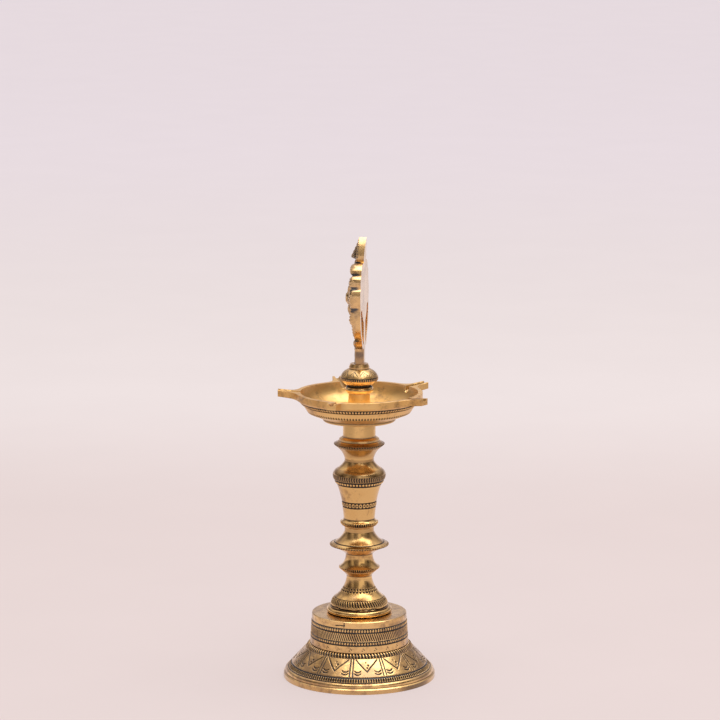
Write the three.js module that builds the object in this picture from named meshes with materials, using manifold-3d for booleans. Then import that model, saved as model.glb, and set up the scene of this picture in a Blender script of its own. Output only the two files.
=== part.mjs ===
// A brass oil lamp about a foot high: a hollow bell base, a turned stem in two lengths, a bowl
// with five wick spouts, and an openwork finial on a knob. Every piece is cast or turned by
// itself and screwed to the next along one upright axis.
// Millimetres, +Z up, origin on the table under the axis. The front spout and the face of the
// finial look along -Y.
import * as THREE from "three";
import { mergeVertices } from "three/addons/utils/BufferGeometryUtils.js";
import Module from "manifold-3d";

const wasm = await Module();
wasm.setup();

// Turned outlines. A band runs up from the one below it: rise is its height, low and high are
// its radii (low carries on from the band below where it is left out), and bow is how far its
// middle swells out from the straight line, or in where it is negative. Where lowShare and
// highShare stand instead, they are shares of the piece's own widest radius.
const bellBands = {
  tableRim: { rise: 3, lowShare: 1, highShare: 1 },
  tableRimEdge: { rise: 0.7, highShare: 0.983 },
  roundMoulding: { rise: 3.15, lowShare: 0.977, highShare: 0.954, bow: 0.75 },
  lowerBeads: { rise: 3.65, lowShare: 0.946, highShare: 0.8925 },
  skirt: { rise: 10.3, highShare: 0.708 },
  rope: { rise: 2.9, lowShare: 0.7, highShare: 0.66, bow: 0.5 },
};
const drumBands = {
  footGroove: { rise: 0.3, lowShare: 0.637, highShare: 0.637 },
  foot: { rise: 4.65, lowShare: 0.648, highShare: 0.646 },
  footEdge: { rise: 0.3, lowShare: 0.635, highShare: 0.635 },
  middleBeads: { rise: 2.5, lowShare: 0.641, highShare: 0.641 },
  middleGroove: { rise: 0.3, lowShare: 0.6335, highShare: 0.6335 },
  hatched: { rise: 5.5, lowShare: 0.64, highShare: 0.6355 },
  upperGroove: { rise: 0.3, lowShare: 0.626, highShare: 0.626 },
  upperBeads: { rise: 2.95, lowShare: 0.6315, highShare: 0.6305 },
  topGroove: { rise: 0.3, lowShare: 0.622, highShare: 0.622 },
  top: { rise: 4.05, lowShare: 0.6265, highShare: 0.624 },
  topEdge: { rise: 0.45, highShare: 0.614 },
};
const lowerStemBands = {
  footRing: { rise: 3.9, low: 21.3, high: 21.2, bow: 1.15 },
  footGroove: { rise: 0.8, low: 19.3, high: 19.3 },
  dome: { rise: 5.9, low: 19.9, high: 17.3, bow: 0.6 },
  domeGroove: { rise: 0.3, low: 16.7, high: 16.7 },
  flare: { rise: 13.3, low: 16.9, high: 8.75, bow: -1.55 },
  lowerNeck: { rise: 1.7, high: 8.75 },
  smallFlange: { rise: 4.7, high: 13.3, bow: -0.25 },
  smallFlangeTeeth: { rise: 0.5, high: 13.97 },
  smallFlangeRim: { rise: 0.9, high: 13.97 },
  smallFlangeTop: { rise: 8.7, low: 13.5, high: 9.25, bow: -1.2 },
  middleNeck: { rise: 0.6, high: 9.25 },
  discUnderside: { rise: 5.4, high: 18.9, bow: -0.45 },
  discTeeth: { rise: 0.7, high: 20.3 },
  discRim: { rise: 0.6, high: 20.3 },
  discTop: { rise: 9, low: 20, high: 10.05, bow: -1.5 },
  upperNeck: { rise: 2.7, high: 10.05 },
};
const upperStemBands = {
  foot: { rise: 0.7, low: 10.1, high: 10.4 },
  collarTeeth: { rise: 2.1, low: 10.6, high: 12.95, bow: 0.2 },
  collarRim: { rise: 1.2, high: 12.95 },
  collarTop: { rise: 2.2, high: 10.6, bow: -0.35 },
  lowerCup: { rise: 8.1, high: 11.45 },
  lowerLadderGroove: { rise: 0.35, low: 11.1, high: 11.1 },
  ladder: { rise: 3.7, low: 11.65, high: 12 },
  upperLadderGroove: { rise: 0.35, low: 11.5, high: 11.5 },
  upperCup: { rise: 11.3, low: 12.05, high: 15.2, bow: -0.25 },
  lowerBeadGroove: { rise: 0.35, low: 14.9, high: 14.9 },
  beads: { rise: 2.9, low: 15.6, high: 17.1, bow: 0.15 },
  upperBeadGroove: { rise: 0.35, low: 16.7, high: 16.7 },
  bulge: { rise: 2.6, low: 17.4, high: 18.1, bow: 0.15 },
  bulgeTop: { rise: 1.4, high: 18, bow: 0.12 },
  shoulder: { rise: 3.4, high: 14.95, bow: 0.45 },
  shoulderTop: { rise: 5.4, high: 10, bow: -0.5 },
  waist: { rise: 1.8, high: 10 },
  topFlange: { rise: 8.8, high: 16.4, bow: -1 },
  topFlangeEdge: { rise: 0.8, high: 17.3 },
  topFlangeRim: { rise: 0.7, high: 17.3 },
  topFlangeStep: { rise: 1.7, low: 16.8, high: 14.2 },
  stepCollar: { rise: 1.6, low: 13.9, high: 13.6 },
  stepCollarTop: { rise: 1.2, high: 11.6 },
  neck: { rise: 11.2, low: 11.2, high: 11.15 },
};
const bowlBands = {
  bossEdge: { rise: 0.5, lowShare: 0.56, highShare: 0.573 },
  boss: { rise: 1.3, highShare: 0.573 },
  underside: { rise: 4.3, highShare: 0.808 },
  undersideEdge: { rise: 0.9, highShare: 0.8245 },
  side: { rise: 3.8, highShare: 0.8775 },
  beads: { rise: 2.4, highShare: 0.947 },
  underRim: { rise: 2, highShare: 0.984, bow: -0.1 },
};
const ringBands = { torus: { rise: 4.6, low: 8.4, high: 8.4, bow: 1.25 } };
const knobBands = {
  foot: { rise: 0.9, low: 7.8, high: 7.8 },
  underside: { rise: 3.6, low: 8, high: 12.7, bow: 0.6 },
  teeth: { rise: 1.6, low: 12.95, high: 13 },
  groove: { rise: 0.6, low: 12.3, high: 12.3 },
  crown: { rise: 5.3, low: 12.95, high: 7.3, bow: 0.75 },
  capGroove: { rise: 0.3, low: 6.3, high: 6.3 },
  cap: { rise: 1.1, low: 7, high: 7 },
  capTop: { rise: 2.1, high: 6.1 },
};

// How finely round things are faceted.
const bellSides = 40;
const stemSides = 26;
const knobSides = 20;
const bowlSides = 40;
const smallSides = 16;
const curveSteps = 3;

// Fits
const clearance = 0.3; // round a stud, and past its end
const overrun = 1; // how far a cutter runs past what it cuts
const weldDistance = 0.0001;

// Bell base, and the hollow inside it
const bell = {
  radius: 52.1,
  lipWidth: 3.2, // flat ring that stands on the table
  lipHeight: 3.4,
  drumWall: 3.2,
  topPlate: 4,
  slopeBelowDrum: 2.2, // from the foot of the drum down to where the hollow widens
};

// Studs, each screwed into both of its neighbours, and the nut that clamps the base
const baseStud = { radius: 4, engagement: 13, chamfer: 0.8, pastNut: 1.5 };
const stemStud = { radius: 4.5, engagement: 12.5, chamfer: 0.8 };
const bowlStud = { radius: 4, engagement: 14, intoKnob: 8, chamfer: 0.8 };
const washer = { radius: 9, thickness: 1.6 };
const nut = { acrossFlats: 13, height: 6.5 };

// Inside of the bowl: a shallow dish round a hollow post that keeps the stud clear of the oil
const dish = {
  floorShare: 0.554, // of the rim's radius, where the floor turns up into the side
  floorThickness: 4.8, // there
  postThickness: 3.4, // floor beside the post
  fullnessShare: 0.8775, // of the rim's radius, how far out the side keeps steep
  sideDepth: 11.8, // how far down the side keeps steep
  postFoot: 9.6,
  postLow: 8.3,
  postTop: 7.1,
  postFillet: 1.8,
  postBelowRim: 0.4,
};

// Rim, a flat ring in plan, and its spouts, which climb a little towards their tips
const spoutCount = 5;
const rim = { radius: 43.3, width: 3.1, height: 4.4 };
const spout = {
  length: 12.15, // past the rim
  tipHalfWidth: 3.3,
  neckHalfWidth: 3.9, // where the straight sides end
  neckLength: 5.7, // past the rim
  rootHalfWidth: 12.6, // where the blend leaves the rim
  rootPull: 0.7, // past the rim, where the blend bends
  rootPullHalfWidth: 4.35,
  climb: 1.4, // of the tip over the rim
};
const channel = { halfWidth: 1.8, insideRim: 3.2, depthAtStart: 5, depthAtTip: 1.7 };

// Finial: an openwork plate with a lobed edge, square-shouldered above and oval below, where its
// face slopes back to a thinner ring
const plate = {
  halfWidth: 27,
  upperHeight: 30,
  lowerHeight: 32.5,
  squareness: 2.8, // of the upper half; 2 would be an oval
  notch: 1.8, // how deep the notches between lobes are
  back: 3.6, // back face behind the axis
  front: 2.7, // front face before the axis
  ringFront: 0.8, // front face of the thinner ring
  slopeTop: -8, // where the face starts to slope back, over the plate's centre
  slopeBottom: -13,
};
// Notches between the lobes, round from the right foot.
const lobeEdgeDegrees = [-78, -48, -2, 20, 44, 82, 98, 136, 160, 182, 228, 258];
const opening = { sideBand: 5, bottomBand: 4, hub: 16.6, topDrop: 2.4, besideStalk: 0.8 };
const stalk = { halfWidth: 4, halfDepth: 3.2, foot: 9 }; // foot: knob to the bottom of the plate
const rosette = {
  rise: 3.7, // centre above the plate's centre
  petals: 8,
  petalReach: 15.6,
  petalRoot: 3.4,
  petalHalfWidth: 4.7,
  petalHeight: 4.4,
  bossRadius: 5.8,
  bossHeight: 7.2,
};
const gadroon = { halfHeight: 2.3, swell: 1.7, lengthShare: 0.42, inset: 2.9 };
const leaf = {
  sink: 3,
  height: 18,
  footHalfWidth: 5.5,
  pull: 10,
  pullHeight: 7,
  thickness: 5.2,
  lean: 1.2, // of the tip, backwards
};
const bud = { halfWidth: 5.6, foot: 3, fullHeight: 5.2, tipShare: 0.1, front: 5.6 };
const peg = { radius: 3, length: 5, chamfer: 0.6 };
const finialTurnDegrees = -4.5; // screwed home a little past the front spout

const brass = { color: 0xb98d43, roughness: 0.32, metalness: 1 };
const oldBrass = { color: 0x8f6f3a, roughness: 0.5, metalness: 1 };

const fullTurn = 2 * Math.PI;
const lobeEdges = lobeEdgeDegrees.map(THREE.MathUtils.degToRad);
const heightOf = (bands) => Object.values(bands).reduce((sum, band) => sum + band.rise, 0);

// Bands with radii in place of their shares of one radius.
function sized(bands, widest) {
  return Object.values(bands).map(({ lowShare, highShare, ...band }) => ({
    ...band,
    low: lowShare && lowShare * widest,
    high: highShare * widest,
  }));
}

// Points of a stack of bands, from the bottom up.
function stack(bands) {
  const points = [];
  let radius = 0;
  let height = 0;
  for (const { rise, low = radius, high, bow = 0 } of Object.values(bands)) {
    const steps = bow ? curveSteps : 1;
    const slant = Math.hypot(rise, high - low);
    const pull = (4 * bow) / slant;
    for (let i = 0; i <= steps; i++) {
      const t = i / steps;
      const swell = pull * t * (1 - t);
      points.push(
        new THREE.Vector2(
          low + (high - low) * t + rise * swell,
          height + rise * t + (low - high) * swell,
        ),
      );
    }
    radius = high;
    height += rise;
  }
  return points.filter((p, i) => !i || p.distanceTo(points[i - 1]) > weldDistance);
}

// An outline of (radius, height) points turned round the upright axis.
function turned(outline, sides) {
  return new THREE.LatheGeometry(outline, sides).rotateX(Math.PI / 2);
}

// A closed geometry as a solid that can be joined and cut.
function solid(geometry) {
  const bare = new THREE.BufferGeometry();
  bare.setAttribute("position", geometry.getAttribute("position"));
  bare.setIndex(geometry.index);
  const merged = mergeVertices(bare, weldDistance);
  const { position } = merged.attributes;
  return new wasm.Manifold(
    new wasm.Mesh({
      numProp: 3,
      vertProperties: position.array,
      triVerts: new Uint32Array(merged.index.array),
    }),
  );
}

// A solid as a geometry again.
function faceted(body) {
  const { vertProperties, triVerts } = body.getMesh();
  const geometry = new THREE.BufferGeometry();
  geometry.setAttribute("position", new THREE.BufferAttribute(vertProperties, 3));
  geometry.setIndex(new THREE.BufferAttribute(triVerts, 1));
  geometry.computeVertexNormals();
  return geometry;
}

const joined = (bodies) => bodies.reduce((all, body) => all.add(body));
const v2 = (x, y) => new THREE.Vector2(x, y);

// A round rod from one height to another, chamfered at both ends.
function rod(radius, bottom, top, chamfer, sides = smallSides) {
  const outline = [
    v2(0, bottom),
    v2(radius - chamfer, bottom),
    v2(radius, bottom + chamfer),
    v2(radius, top - chamfer),
    v2(radius - chamfer, top),
    v2(0, top),
  ];
  return turned(outline, sides);
}

// A turned body with a blind hole up from its foot and another down from its top.
function drilled(bands, foot, top, sides) {
  const height = heightOf(bands);
  const outline = [
    v2(0, foot.depth),
    v2(foot.radius, foot.depth),
    v2(foot.radius, 0),
    ...stack(bands),
    v2(top.radius, height),
    v2(top.radius, height - top.depth),
    v2(0, height - top.depth),
  ];
  return turned(outline, sides);
}

// The hole that a stud or peg of this size goes down.
const holeFor = (radius, length) => ({ radius: radius + clearance, depth: length + clearance });

// Hollow bell base: sloping skirt, drum and a flat top plate with a hole for the stud.
function baseBell() {
  const outer = stack([...sized(bellBands, bell.radius), ...sized(drumBands, bell.radius)]);
  const drumBottom = heightOf(bellBands);
  const top = drumBottom + heightOf(drumBands);
  const insideDrum = drumBands.foot.lowShare * bell.radius - bell.drumWall;
  const insideLip = bell.radius - bell.lipWidth;
  const hole = holeFor(baseStud.radius, 0).radius;
  const outline = [
    v2(insideLip, 0),
    ...outer,
    v2(hole, top),
    v2(hole, top - bell.topPlate),
    v2(insideDrum, top - bell.topPlate),
    v2(insideDrum, drumBottom - bell.slopeBelowDrum),
    v2(insideLip, bell.lipHeight),
    v2(insideLip, 0),
  ];
  return turned(outline, bellSides);
}

// A flat piece of an outline with a round hole in it, up from z = 0.
function flatWithHole(shape, radius, thickness) {
  shape.holes.push(new THREE.Path().absarc(0, 0, radius, 0, fullTurn, true));
  return new THREE.ExtrudeGeometry(shape, {
    depth: thickness,
    bevelEnabled: false,
    curveSegments: smallSides,
  });
}

function baseWasher() {
  const shape = new THREE.Shape().absarc(0, 0, washer.radius, 0, fullTurn);
  return flatWithHole(shape, holeFor(baseStud.radius, 0).radius, washer.thickness);
}

function baseNut() {
  const corner = nut.acrossFlats / 2 / Math.cos(Math.PI / 6);
  const corners = [0, 1, 2, 3, 4, 5].map((i) => {
    const angle = (i * fullTurn) / 6;
    return v2(corner * Math.cos(angle), corner * Math.sin(angle));
  });
  return flatWithHole(new THREE.Shape(corners), holeFor(baseStud.radius, 0).radius, nut.height);
}

// A spout that points to -Y, drawn in (across, along), as thick as the rim and climbing from it.
function spoutBody() {
  const { length, tipHalfWidth, neckHalfWidth, neckLength, rootHalfWidth, rootPull } = spout;
  const rootAlong = Math.sqrt(rim.radius ** 2 - rootHalfWidth ** 2);
  const [neck, tip, pull] = [neckLength, length, rootPull].map((past) => rim.radius + past);
  const plan = new THREE.Shape();
  plan.moveTo(-rootHalfWidth, -rootAlong);
  plan.quadraticCurveTo(-spout.rootPullHalfWidth, -pull, -neckHalfWidth, -neck);
  plan.lineTo(-tipHalfWidth, -tip);
  plan.lineTo(tipHalfWidth, -tip);
  plan.lineTo(neckHalfWidth, -neck);
  plan.quadraticCurveTo(spout.rootPullHalfWidth, -pull, rootHalfWidth, -rootAlong);
  const body = new THREE.ExtrudeGeometry(plan, {
    depth: rim.height,
    bevelEnabled: false,
    curveSegments: 2 * curveSteps,
  });
  return solid(body).warp((place) => {
    const past = Math.max(0, (-place[1] - rim.radius) / length);
    place[2] += spout.climb * past;
  });
}

// What is cut out of the bowl's middle: the dish, all round the hollow post.
function dishCutter(rimTop) {
  const postTop = rimTop - dish.postBelowRim;
  const insideRim = rim.radius - rim.width;
  const side = new THREE.QuadraticBezierCurve(
    v2(dish.floorShare * rim.radius, dish.floorThickness),
    v2(dish.fullnessShare * rim.radius, rimTop - dish.sideDepth),
    v2(insideRim, rimTop),
  );
  const outline = [
    v2(0, postTop),
    v2(dish.postTop, postTop),
    v2(dish.postLow, dish.postThickness + dish.postFillet),
    v2(dish.postFoot, dish.postThickness),
    ...side.getPoints(2 * curveSteps),
    v2(insideRim, rimTop + overrun),
    v2(0, rimTop + overrun),
  ];
  return solid(turned(outline, bowlSides));
}

// A round-bottomed wick channel, from the dish up to the end of the spout at -Y.
function channelCutter(rimTop) {
  const start = rim.radius - rim.width - channel.insideRim;
  const run = rim.radius + spout.length - start;
  const fall = channel.depthAtStart - channel.depthAtTip + spout.climb;
  const slope = Math.atan2(fall, run);
  const wall = channel.depthAtStart + spout.climb + overrun;
  const section = new THREE.Shape();
  section.moveTo(channel.halfWidth, wall);
  section.lineTo(-channel.halfWidth, wall);
  section.lineTo(-channel.halfWidth, channel.halfWidth);
  section.absarc(0, channel.halfWidth, channel.halfWidth, Math.PI, fullTurn);
  const bar = new THREE.ExtrudeGeometry(section, {
    depth: Math.hypot(run, fall) + overrun,
    bevelEnabled: false,
    curveSegments: curveSteps,
  });
  bar.rotateX(Math.PI / 2).rotateX(-slope);
  return bar.translate(0, -start, rimTop - channel.depthAtStart);
}

// A solid for each spout, from the one that points to -Y.
function aroundBowl(made) {
  const turn = 360 / spoutCount;
  return Array.from({ length: spoutCount }, (_, k) => made().rotate([0, 0, k * turn]));
}

// Bowl cast in one with its rim, spouts and hollow post.
function oilBowl() {
  const rimBottom = heightOf(bowlBands);
  const rimTop = rimBottom + rim.height;
  const insideRim = { rise: rim.height / 2, highShare: bowlBands.underRim.highShare };
  const outline = stack(sized({ ...bowlBands, insideRim }, rim.radius));
  const body = turned([v2(0, 0), ...outline, v2(0, outline.at(-1).y)], bowlSides);
  const ring = turned(
    [v2(0, rimBottom), v2(rim.radius, rimBottom), v2(rim.radius, rimTop), v2(0, rimTop)],
    bowlSides,
  );
  const spouts = aroundBowl(() => spoutBody().translate([0, 0, rimBottom]));
  const bore = rod(holeFor(bowlStud.radius, 0).radius, -overrun, rimTop + overrun, 0);
  const channels = aroundBowl(() => solid(channelCutter(rimTop)));
  const cast = joined([solid(body), solid(ring), ...spouts]);
  return faceted(cast.subtract(joined([dishCutter(rimTop), solid(bore), ...channels])));
}

// Height of the bowl's seat for the ring, the top of its post.
const bowlSeat = () => heightOf(bowlBands) + rim.height - dish.postBelowRim;

function spacerRing() {
  const hole = holeFor(bowlStud.radius, 0).radius;
  const outer = stack(ringBands);
  return turned([v2(hole, 0), ...outer, v2(hole, heightOf(ringBands)), v2(hole, 0)], smallSides);
}

// A point on the plate's lobed edge, or inside it by the two insets.
function edgePoint(angle, insetAcross, insetUp = insetAcross) {
  const power = 2 / (Math.sin(angle) > 0 ? plate.squareness : 2);
  const bent = (value) => Math.sign(value) * Math.abs(value) ** power;
  const reachUp = Math.sin(angle) > 0 ? plate.upperHeight : plate.lowerHeight;
  return v2(
    (plate.halfWidth - insetAcross) * bent(Math.cos(angle)),
    (reachUp - insetUp) * bent(Math.sin(angle)),
  );
}

// One lobe of the edge as its two notches and the pull of the curve between them.
function lobe(i) {
  const [from, to] = [lobeEdges[i], lobeEdges[i + 1] ?? lobeEdges[0] + fullTurn];
  const middle = (from + to) / 2;
  const start = edgePoint(from, plate.notch);
  const end = edgePoint(to, plate.notch);
  const tip = edgePoint(middle, 0);
  const pull = tip.clone().multiplyScalar(2).sub(start.clone().add(end).multiplyScalar(1 / 2));
  return { start, end, tip, pull };
}

// One of the two pierced openings, to the right of the stalk.
function openingPath() {
  const { sideBand, bottomBand, hub, topDrop } = opening;
  const inner = stalk.halfWidth + opening.besideStalk;
  const [across, down] = [plate.halfWidth - sideBand, plate.lowerHeight - bottomBand];
  const path = new THREE.Path();
  const drop = topDrop + rosette.rise;
  path.absellipse(0, 0, across, down, -Math.acos(inner / across), -Math.asin(topDrop / down));
  path.absarc(0, rosette.rise, hub, -Math.asin(drop / hub), -Math.acos(inner / hub), true);
  return path;
}

// Plan of the plate in (across, up) about its centre.
function platePlan() {
  const plan = new THREE.Shape();
  lobeEdges.forEach((_, i) => {
    const { start, end, pull } = lobe(i);
    if (!i) plan.moveTo(start.x, start.y);
    plan.quadraticCurveTo(pull.x, pull.y, end.x, end.y);
  });
  const right = openingPath().getPoints(2 * curveSteps);
  const left = right.map(({ x, y }) => v2(-x, y)).reverse();
  plan.holes.push(new THREE.Path(right), new THREE.Path(left));
  return plan;
}

// How far before the axis the face of the plate is, at a height over its centre.
function faceAt(height) {
  const { front, ringFront, slopeTop, slopeBottom } = plate;
  const share = THREE.MathUtils.clamp((height - slopeBottom) / (slopeTop - slopeBottom), 0, 1);
  return THREE.MathUtils.lerp(ringFront, front, share);
}

// What is cut off the front of the plate, to leave its lower ring thinner.
function ringCutter() {
  const { front, ringFront, slopeTop, slopeBottom, lowerHeight, halfWidth } = plate;
  const [ahead, below] = [-front - overrun, -lowerHeight - overrun];
  const profile = new THREE.Shape([
    v2(-ringFront, below),
    v2(-ringFront, slopeBottom),
    v2(-front, slopeTop),
    v2(ahead, slopeTop),
    v2(ahead, below),
  ]);
  const cutter = new THREE.ExtrudeGeometry(profile, { depth: 4 * halfWidth, bevelEnabled: false });
  cutter.rotateX(Math.PI / 2).rotateZ(Math.PI / 2);
  return solid(cutter.translate(-2 * halfWidth, 0, 0));
}

// An egg shape, by its half sizes across, forward and up, standing on the face of the plate.
function mound(across, forward, up, x, z, turn = 0) {
  const egg = new THREE.SphereGeometry(1, 3 * curveSteps, 2 * curveSteps);
  egg.rotateX(Math.PI / 2).scale(across, forward, up).rotateY(-turn);
  return solid(egg.translate(x, -faceAt(z), z));
}

// Lotus rosette in the middle of the plate: a ring of petals round a boss.
function rosetteRelief() {
  const { rise, petals, petalReach, petalRoot } = rosette;
  const middle = (petalReach + petalRoot) / 2;
  const halfLength = (petalReach - petalRoot) / 2;
  const ring = Array.from({ length: petals }, (_, k) => {
    const angle = (k * fullTurn) / petals;
    const [x, z] = [middle * Math.cos(angle), rise + middle * Math.sin(angle)];
    const turn = angle - Math.PI / 2;
    return mound(rosette.petalHalfWidth, rosette.petalHeight, halfLength, x, z, turn);
  });
  const { bossRadius, bossHeight } = rosette;
  return joined([...ring, mound(bossRadius, bossHeight, bossRadius, 0, rise)]);
}

// Swelling on the face of each lobe but the top one, where the leaf stands.
function gadroons() {
  const topLobe = Math.floor(lobeEdges.length / 2) - 1;
  const shown = lobeEdges.map((_, i) => i).filter((i) => i !== topLobe && lobeEdges[i + 1]);
  return joined(
    shown.map((i) => {
      const { start, end, tip } = lobe(i);
      const along = end.clone().sub(start);
      const halfLength = along.length() * gadroon.lengthShare;
      const inward = tip.clone().setLength(gadroon.inset);
      const [x, z] = [tip.x - inward.x, tip.y - inward.y];
      return mound(halfLength, gadroon.swell, gadroon.halfHeight, x, z, along.angle());
    }),
  );
}

// Pointed leaf that crowns the plate and leans back, with a bud swelling out of its face.
function crownLeaf() {
  const { height, footHalfWidth, pull, pullHeight, lean } = leaf;
  const outline = new THREE.Shape();
  outline.moveTo(-footHalfWidth, 0);
  outline.lineTo(footHalfWidth, 0);
  outline.quadraticCurveTo(pull, pullHeight, 0, height);
  outline.quadraticCurveTo(-pull, pullHeight, -footHalfWidth, 0);
  const blade = new THREE.ExtrudeGeometry(outline, {
    depth: leaf.thickness,
    bevelEnabled: false,
    curveSegments: 2 * curveSteps,
  });
  const swelling = new THREE.Path();
  swelling.moveTo(0, bud.foot);
  swelling.quadraticCurveTo(1, bud.foot, 1, bud.fullHeight);
  swelling.lineTo(bud.tipShare, height);
  swelling.lineTo(0, height);
  const front = turned(swelling.getPoints(curveSteps), smallSides);
  const upright = joined([
    solid(blade.rotateX(Math.PI / 2).translate(0, plate.back, 0)),
    solid(front.scale(bud.halfWidth, bud.front, 1)),
  ]);
  const leaning = flatBacked(upright).warp((place) => {
    place[1] += (lean * place[2]) / height;
  });
  return leaning.translate([0, 0, plate.upperHeight - leaf.sink]);
}

// The body with all that lies behind the plate's back face filed off.
function flatBacked(body) {
  const behind = new THREE.BoxGeometry(4 * plate.halfWidth, plate.halfWidth, 8 * plate.lowerHeight);
  return body.subtract(solid(behind.translate(0, plate.back + plate.halfWidth / 2, 0)));
}

// Openwork plate with its stalk, relief, crowning leaf and the peg that holds it in the knob.
function finialPlaque() {
  const thickness = plate.back + plate.front;
  const centre = stalk.foot + plate.lowerHeight;
  const flat = new THREE.ExtrudeGeometry(platePlan(), {
    depth: thickness,
    bevelEnabled: false,
    curveSegments: curveSteps,
  });
  const { halfWidth, halfDepth } = stalk;
  const post = new THREE.BoxGeometry(2 * halfWidth, 2 * halfDepth, centre);
  const body = joined([
    solid(flat.rotateX(Math.PI / 2).translate(0, plate.back, 0)).subtract(ringCutter()),
    rosetteRelief(),
    gadroons(),
    solid(post.translate(0, 0, -centre / 2)),
  ]);
  const cast = flatBacked(body).add(crownLeaf());
  const pin = rod(peg.radius, -peg.length, peg.length, peg.chamfer);
  return faceted(cast.translate([0, 0, centre]).add(solid(pin)));
}

// The lamp, built up from the table. Each group stands on the seat of the one below.
const lamp = new THREE.Group();

function piece(parent, name, geometry, finish, height = 0) {
  const mesh = new THREE.Mesh(geometry, new THREE.MeshStandardMaterial(finish));
  mesh.name = name;
  mesh.position.z = height;
  parent.add(mesh);
}

function group(parent, height) {
  const made = new THREE.Group();
  made.position.z = height;
  parent.add(made);
  return made;
}

const baseHeight = heightOf(bellBands) + heightOf(drumBands);
const underTopPlate = baseHeight - bell.topPlate;
const nutBottom = underTopPlate - washer.thickness - nut.height;
piece(lamp, "base_bell", baseBell(), brass);
piece(lamp, "base_washer", baseWasher(), oldBrass, underTopPlate - washer.thickness);
piece(lamp, "base_nut", baseNut(), oldBrass, nutBottom);

const lowerStem = group(lamp, baseHeight);
const lowerHeight = heightOf(lowerStemBands);
const baseHole = holeFor(baseStud.radius, baseStud.engagement);
const jointHole = holeFor(stemStud.radius, stemStud.engagement);
piece(lowerStem, "stem_lower", drilled(lowerStemBands, baseHole, jointHole, stemSides), brass);
const studFoot = nutBottom - baseStud.pastNut - baseHeight;
const { radius, engagement, chamfer } = baseStud;
piece(lowerStem, "base_stud", rod(radius, studFoot, engagement, chamfer), oldBrass);

const upperStem = group(lowerStem, lowerHeight);
const upperHeight = heightOf(upperStemBands);
const bowlHole = holeFor(bowlStud.radius, bowlStud.engagement);
piece(upperStem, "stem_upper", drilled(upperStemBands, jointHole, bowlHole, stemSides), brass);
const half = stemStud.engagement;
piece(upperStem, "stem_stud", rod(stemStud.radius, -half, half, stemStud.chamfer), oldBrass);

const bowlGroup = group(upperStem, upperHeight);
const studTop = bowlSeat() + heightOf(ringBands) + bowlStud.intoKnob;
const bowlRod = rod(bowlStud.radius, -bowlStud.engagement, studTop, bowlStud.chamfer);
piece(bowlGroup, "bowl_stud", bowlRod, oldBrass);
piece(bowlGroup, "oil_bowl", oilBowl(), brass);
piece(bowlGroup, "spacer_ring", spacerRing(), brass, bowlSeat());

const finial = group(bowlGroup, bowlSeat() + heightOf(ringBands));
finial.rotation.z = THREE.MathUtils.degToRad(finialTurnDegrees);
const knobFoot = holeFor(bowlStud.radius, bowlStud.intoKnob);
const pegHole = holeFor(peg.radius, peg.length);
piece(finial, "finial_knob", drilled(knobBands, knobFoot, pegHole, knobSides), brass);
piece(finial, "finial_plaque", finialPlaque(), brass, heightOf(knobBands));

export default lamp;
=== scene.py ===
# Looks of the brass oil lamp: smooth turned pieces with their engraving cut into the surface,
# brass darkened in every recess with old patina and painted shade, painted shade in bands, and a pale
# studio.
# Metres, in the imported model's frame: +Z up, the front spout and the finial's face towards -Y.
from math import ceil, cos, hypot, pi, radians, sin
from types import SimpleNamespace as Sizes

import bpy
import numpy as np
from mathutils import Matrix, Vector, geometry


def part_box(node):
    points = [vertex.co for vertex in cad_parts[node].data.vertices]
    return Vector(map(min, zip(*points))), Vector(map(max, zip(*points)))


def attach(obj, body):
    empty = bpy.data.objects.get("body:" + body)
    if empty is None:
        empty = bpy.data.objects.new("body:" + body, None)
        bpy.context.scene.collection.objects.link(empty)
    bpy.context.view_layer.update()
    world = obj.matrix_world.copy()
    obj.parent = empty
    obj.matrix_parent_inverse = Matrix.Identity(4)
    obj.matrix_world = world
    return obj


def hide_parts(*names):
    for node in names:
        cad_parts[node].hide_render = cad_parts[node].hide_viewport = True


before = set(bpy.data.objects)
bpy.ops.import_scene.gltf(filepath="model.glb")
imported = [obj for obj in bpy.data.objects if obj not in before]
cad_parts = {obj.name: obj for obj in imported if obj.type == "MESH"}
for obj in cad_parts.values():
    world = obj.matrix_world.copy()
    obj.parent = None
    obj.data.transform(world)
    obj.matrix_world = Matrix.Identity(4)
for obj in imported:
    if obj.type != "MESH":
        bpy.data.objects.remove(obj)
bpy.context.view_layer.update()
TAU = 2 * pi

# Hollows and screws
LIP_WIDTH = 0.0032
LIP_HEIGHT = 0.0034
DRUM_WALL = 0.0032
TOP_PLATE = 0.004
TOP_ROW_SHARE = 0.97  # where the flat top has a row of points of its own
SLOPE_BELOW_DRUM = 0.0022
CLEARANCE = 0.0003
BASE_STUD = Sizes(radius=0.004, engagement=0.013)
STEM_STUD = Sizes(radius=0.0045, engagement=0.0125)
BOWL_STUD = Sizes(radius=0.004, engagement=0.014)
BOWL_STUD_IN_KNOB = Sizes(radius=BOWL_STUD.radius, engagement=0.008)
PEG = Sizes(radius=0.003, engagement=0.005)
STUD_CHAMFER = 0.0008
STEM_PITCH = 0.0015
BOWL_PITCH = 0.00125
THREAD_DEPTH_SHARE = 0.45
NUT_CONE_SLOPE = 0.55
NUT_FACE_SHARE = 0.95
CAP_RADIUS = 0.0004

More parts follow.
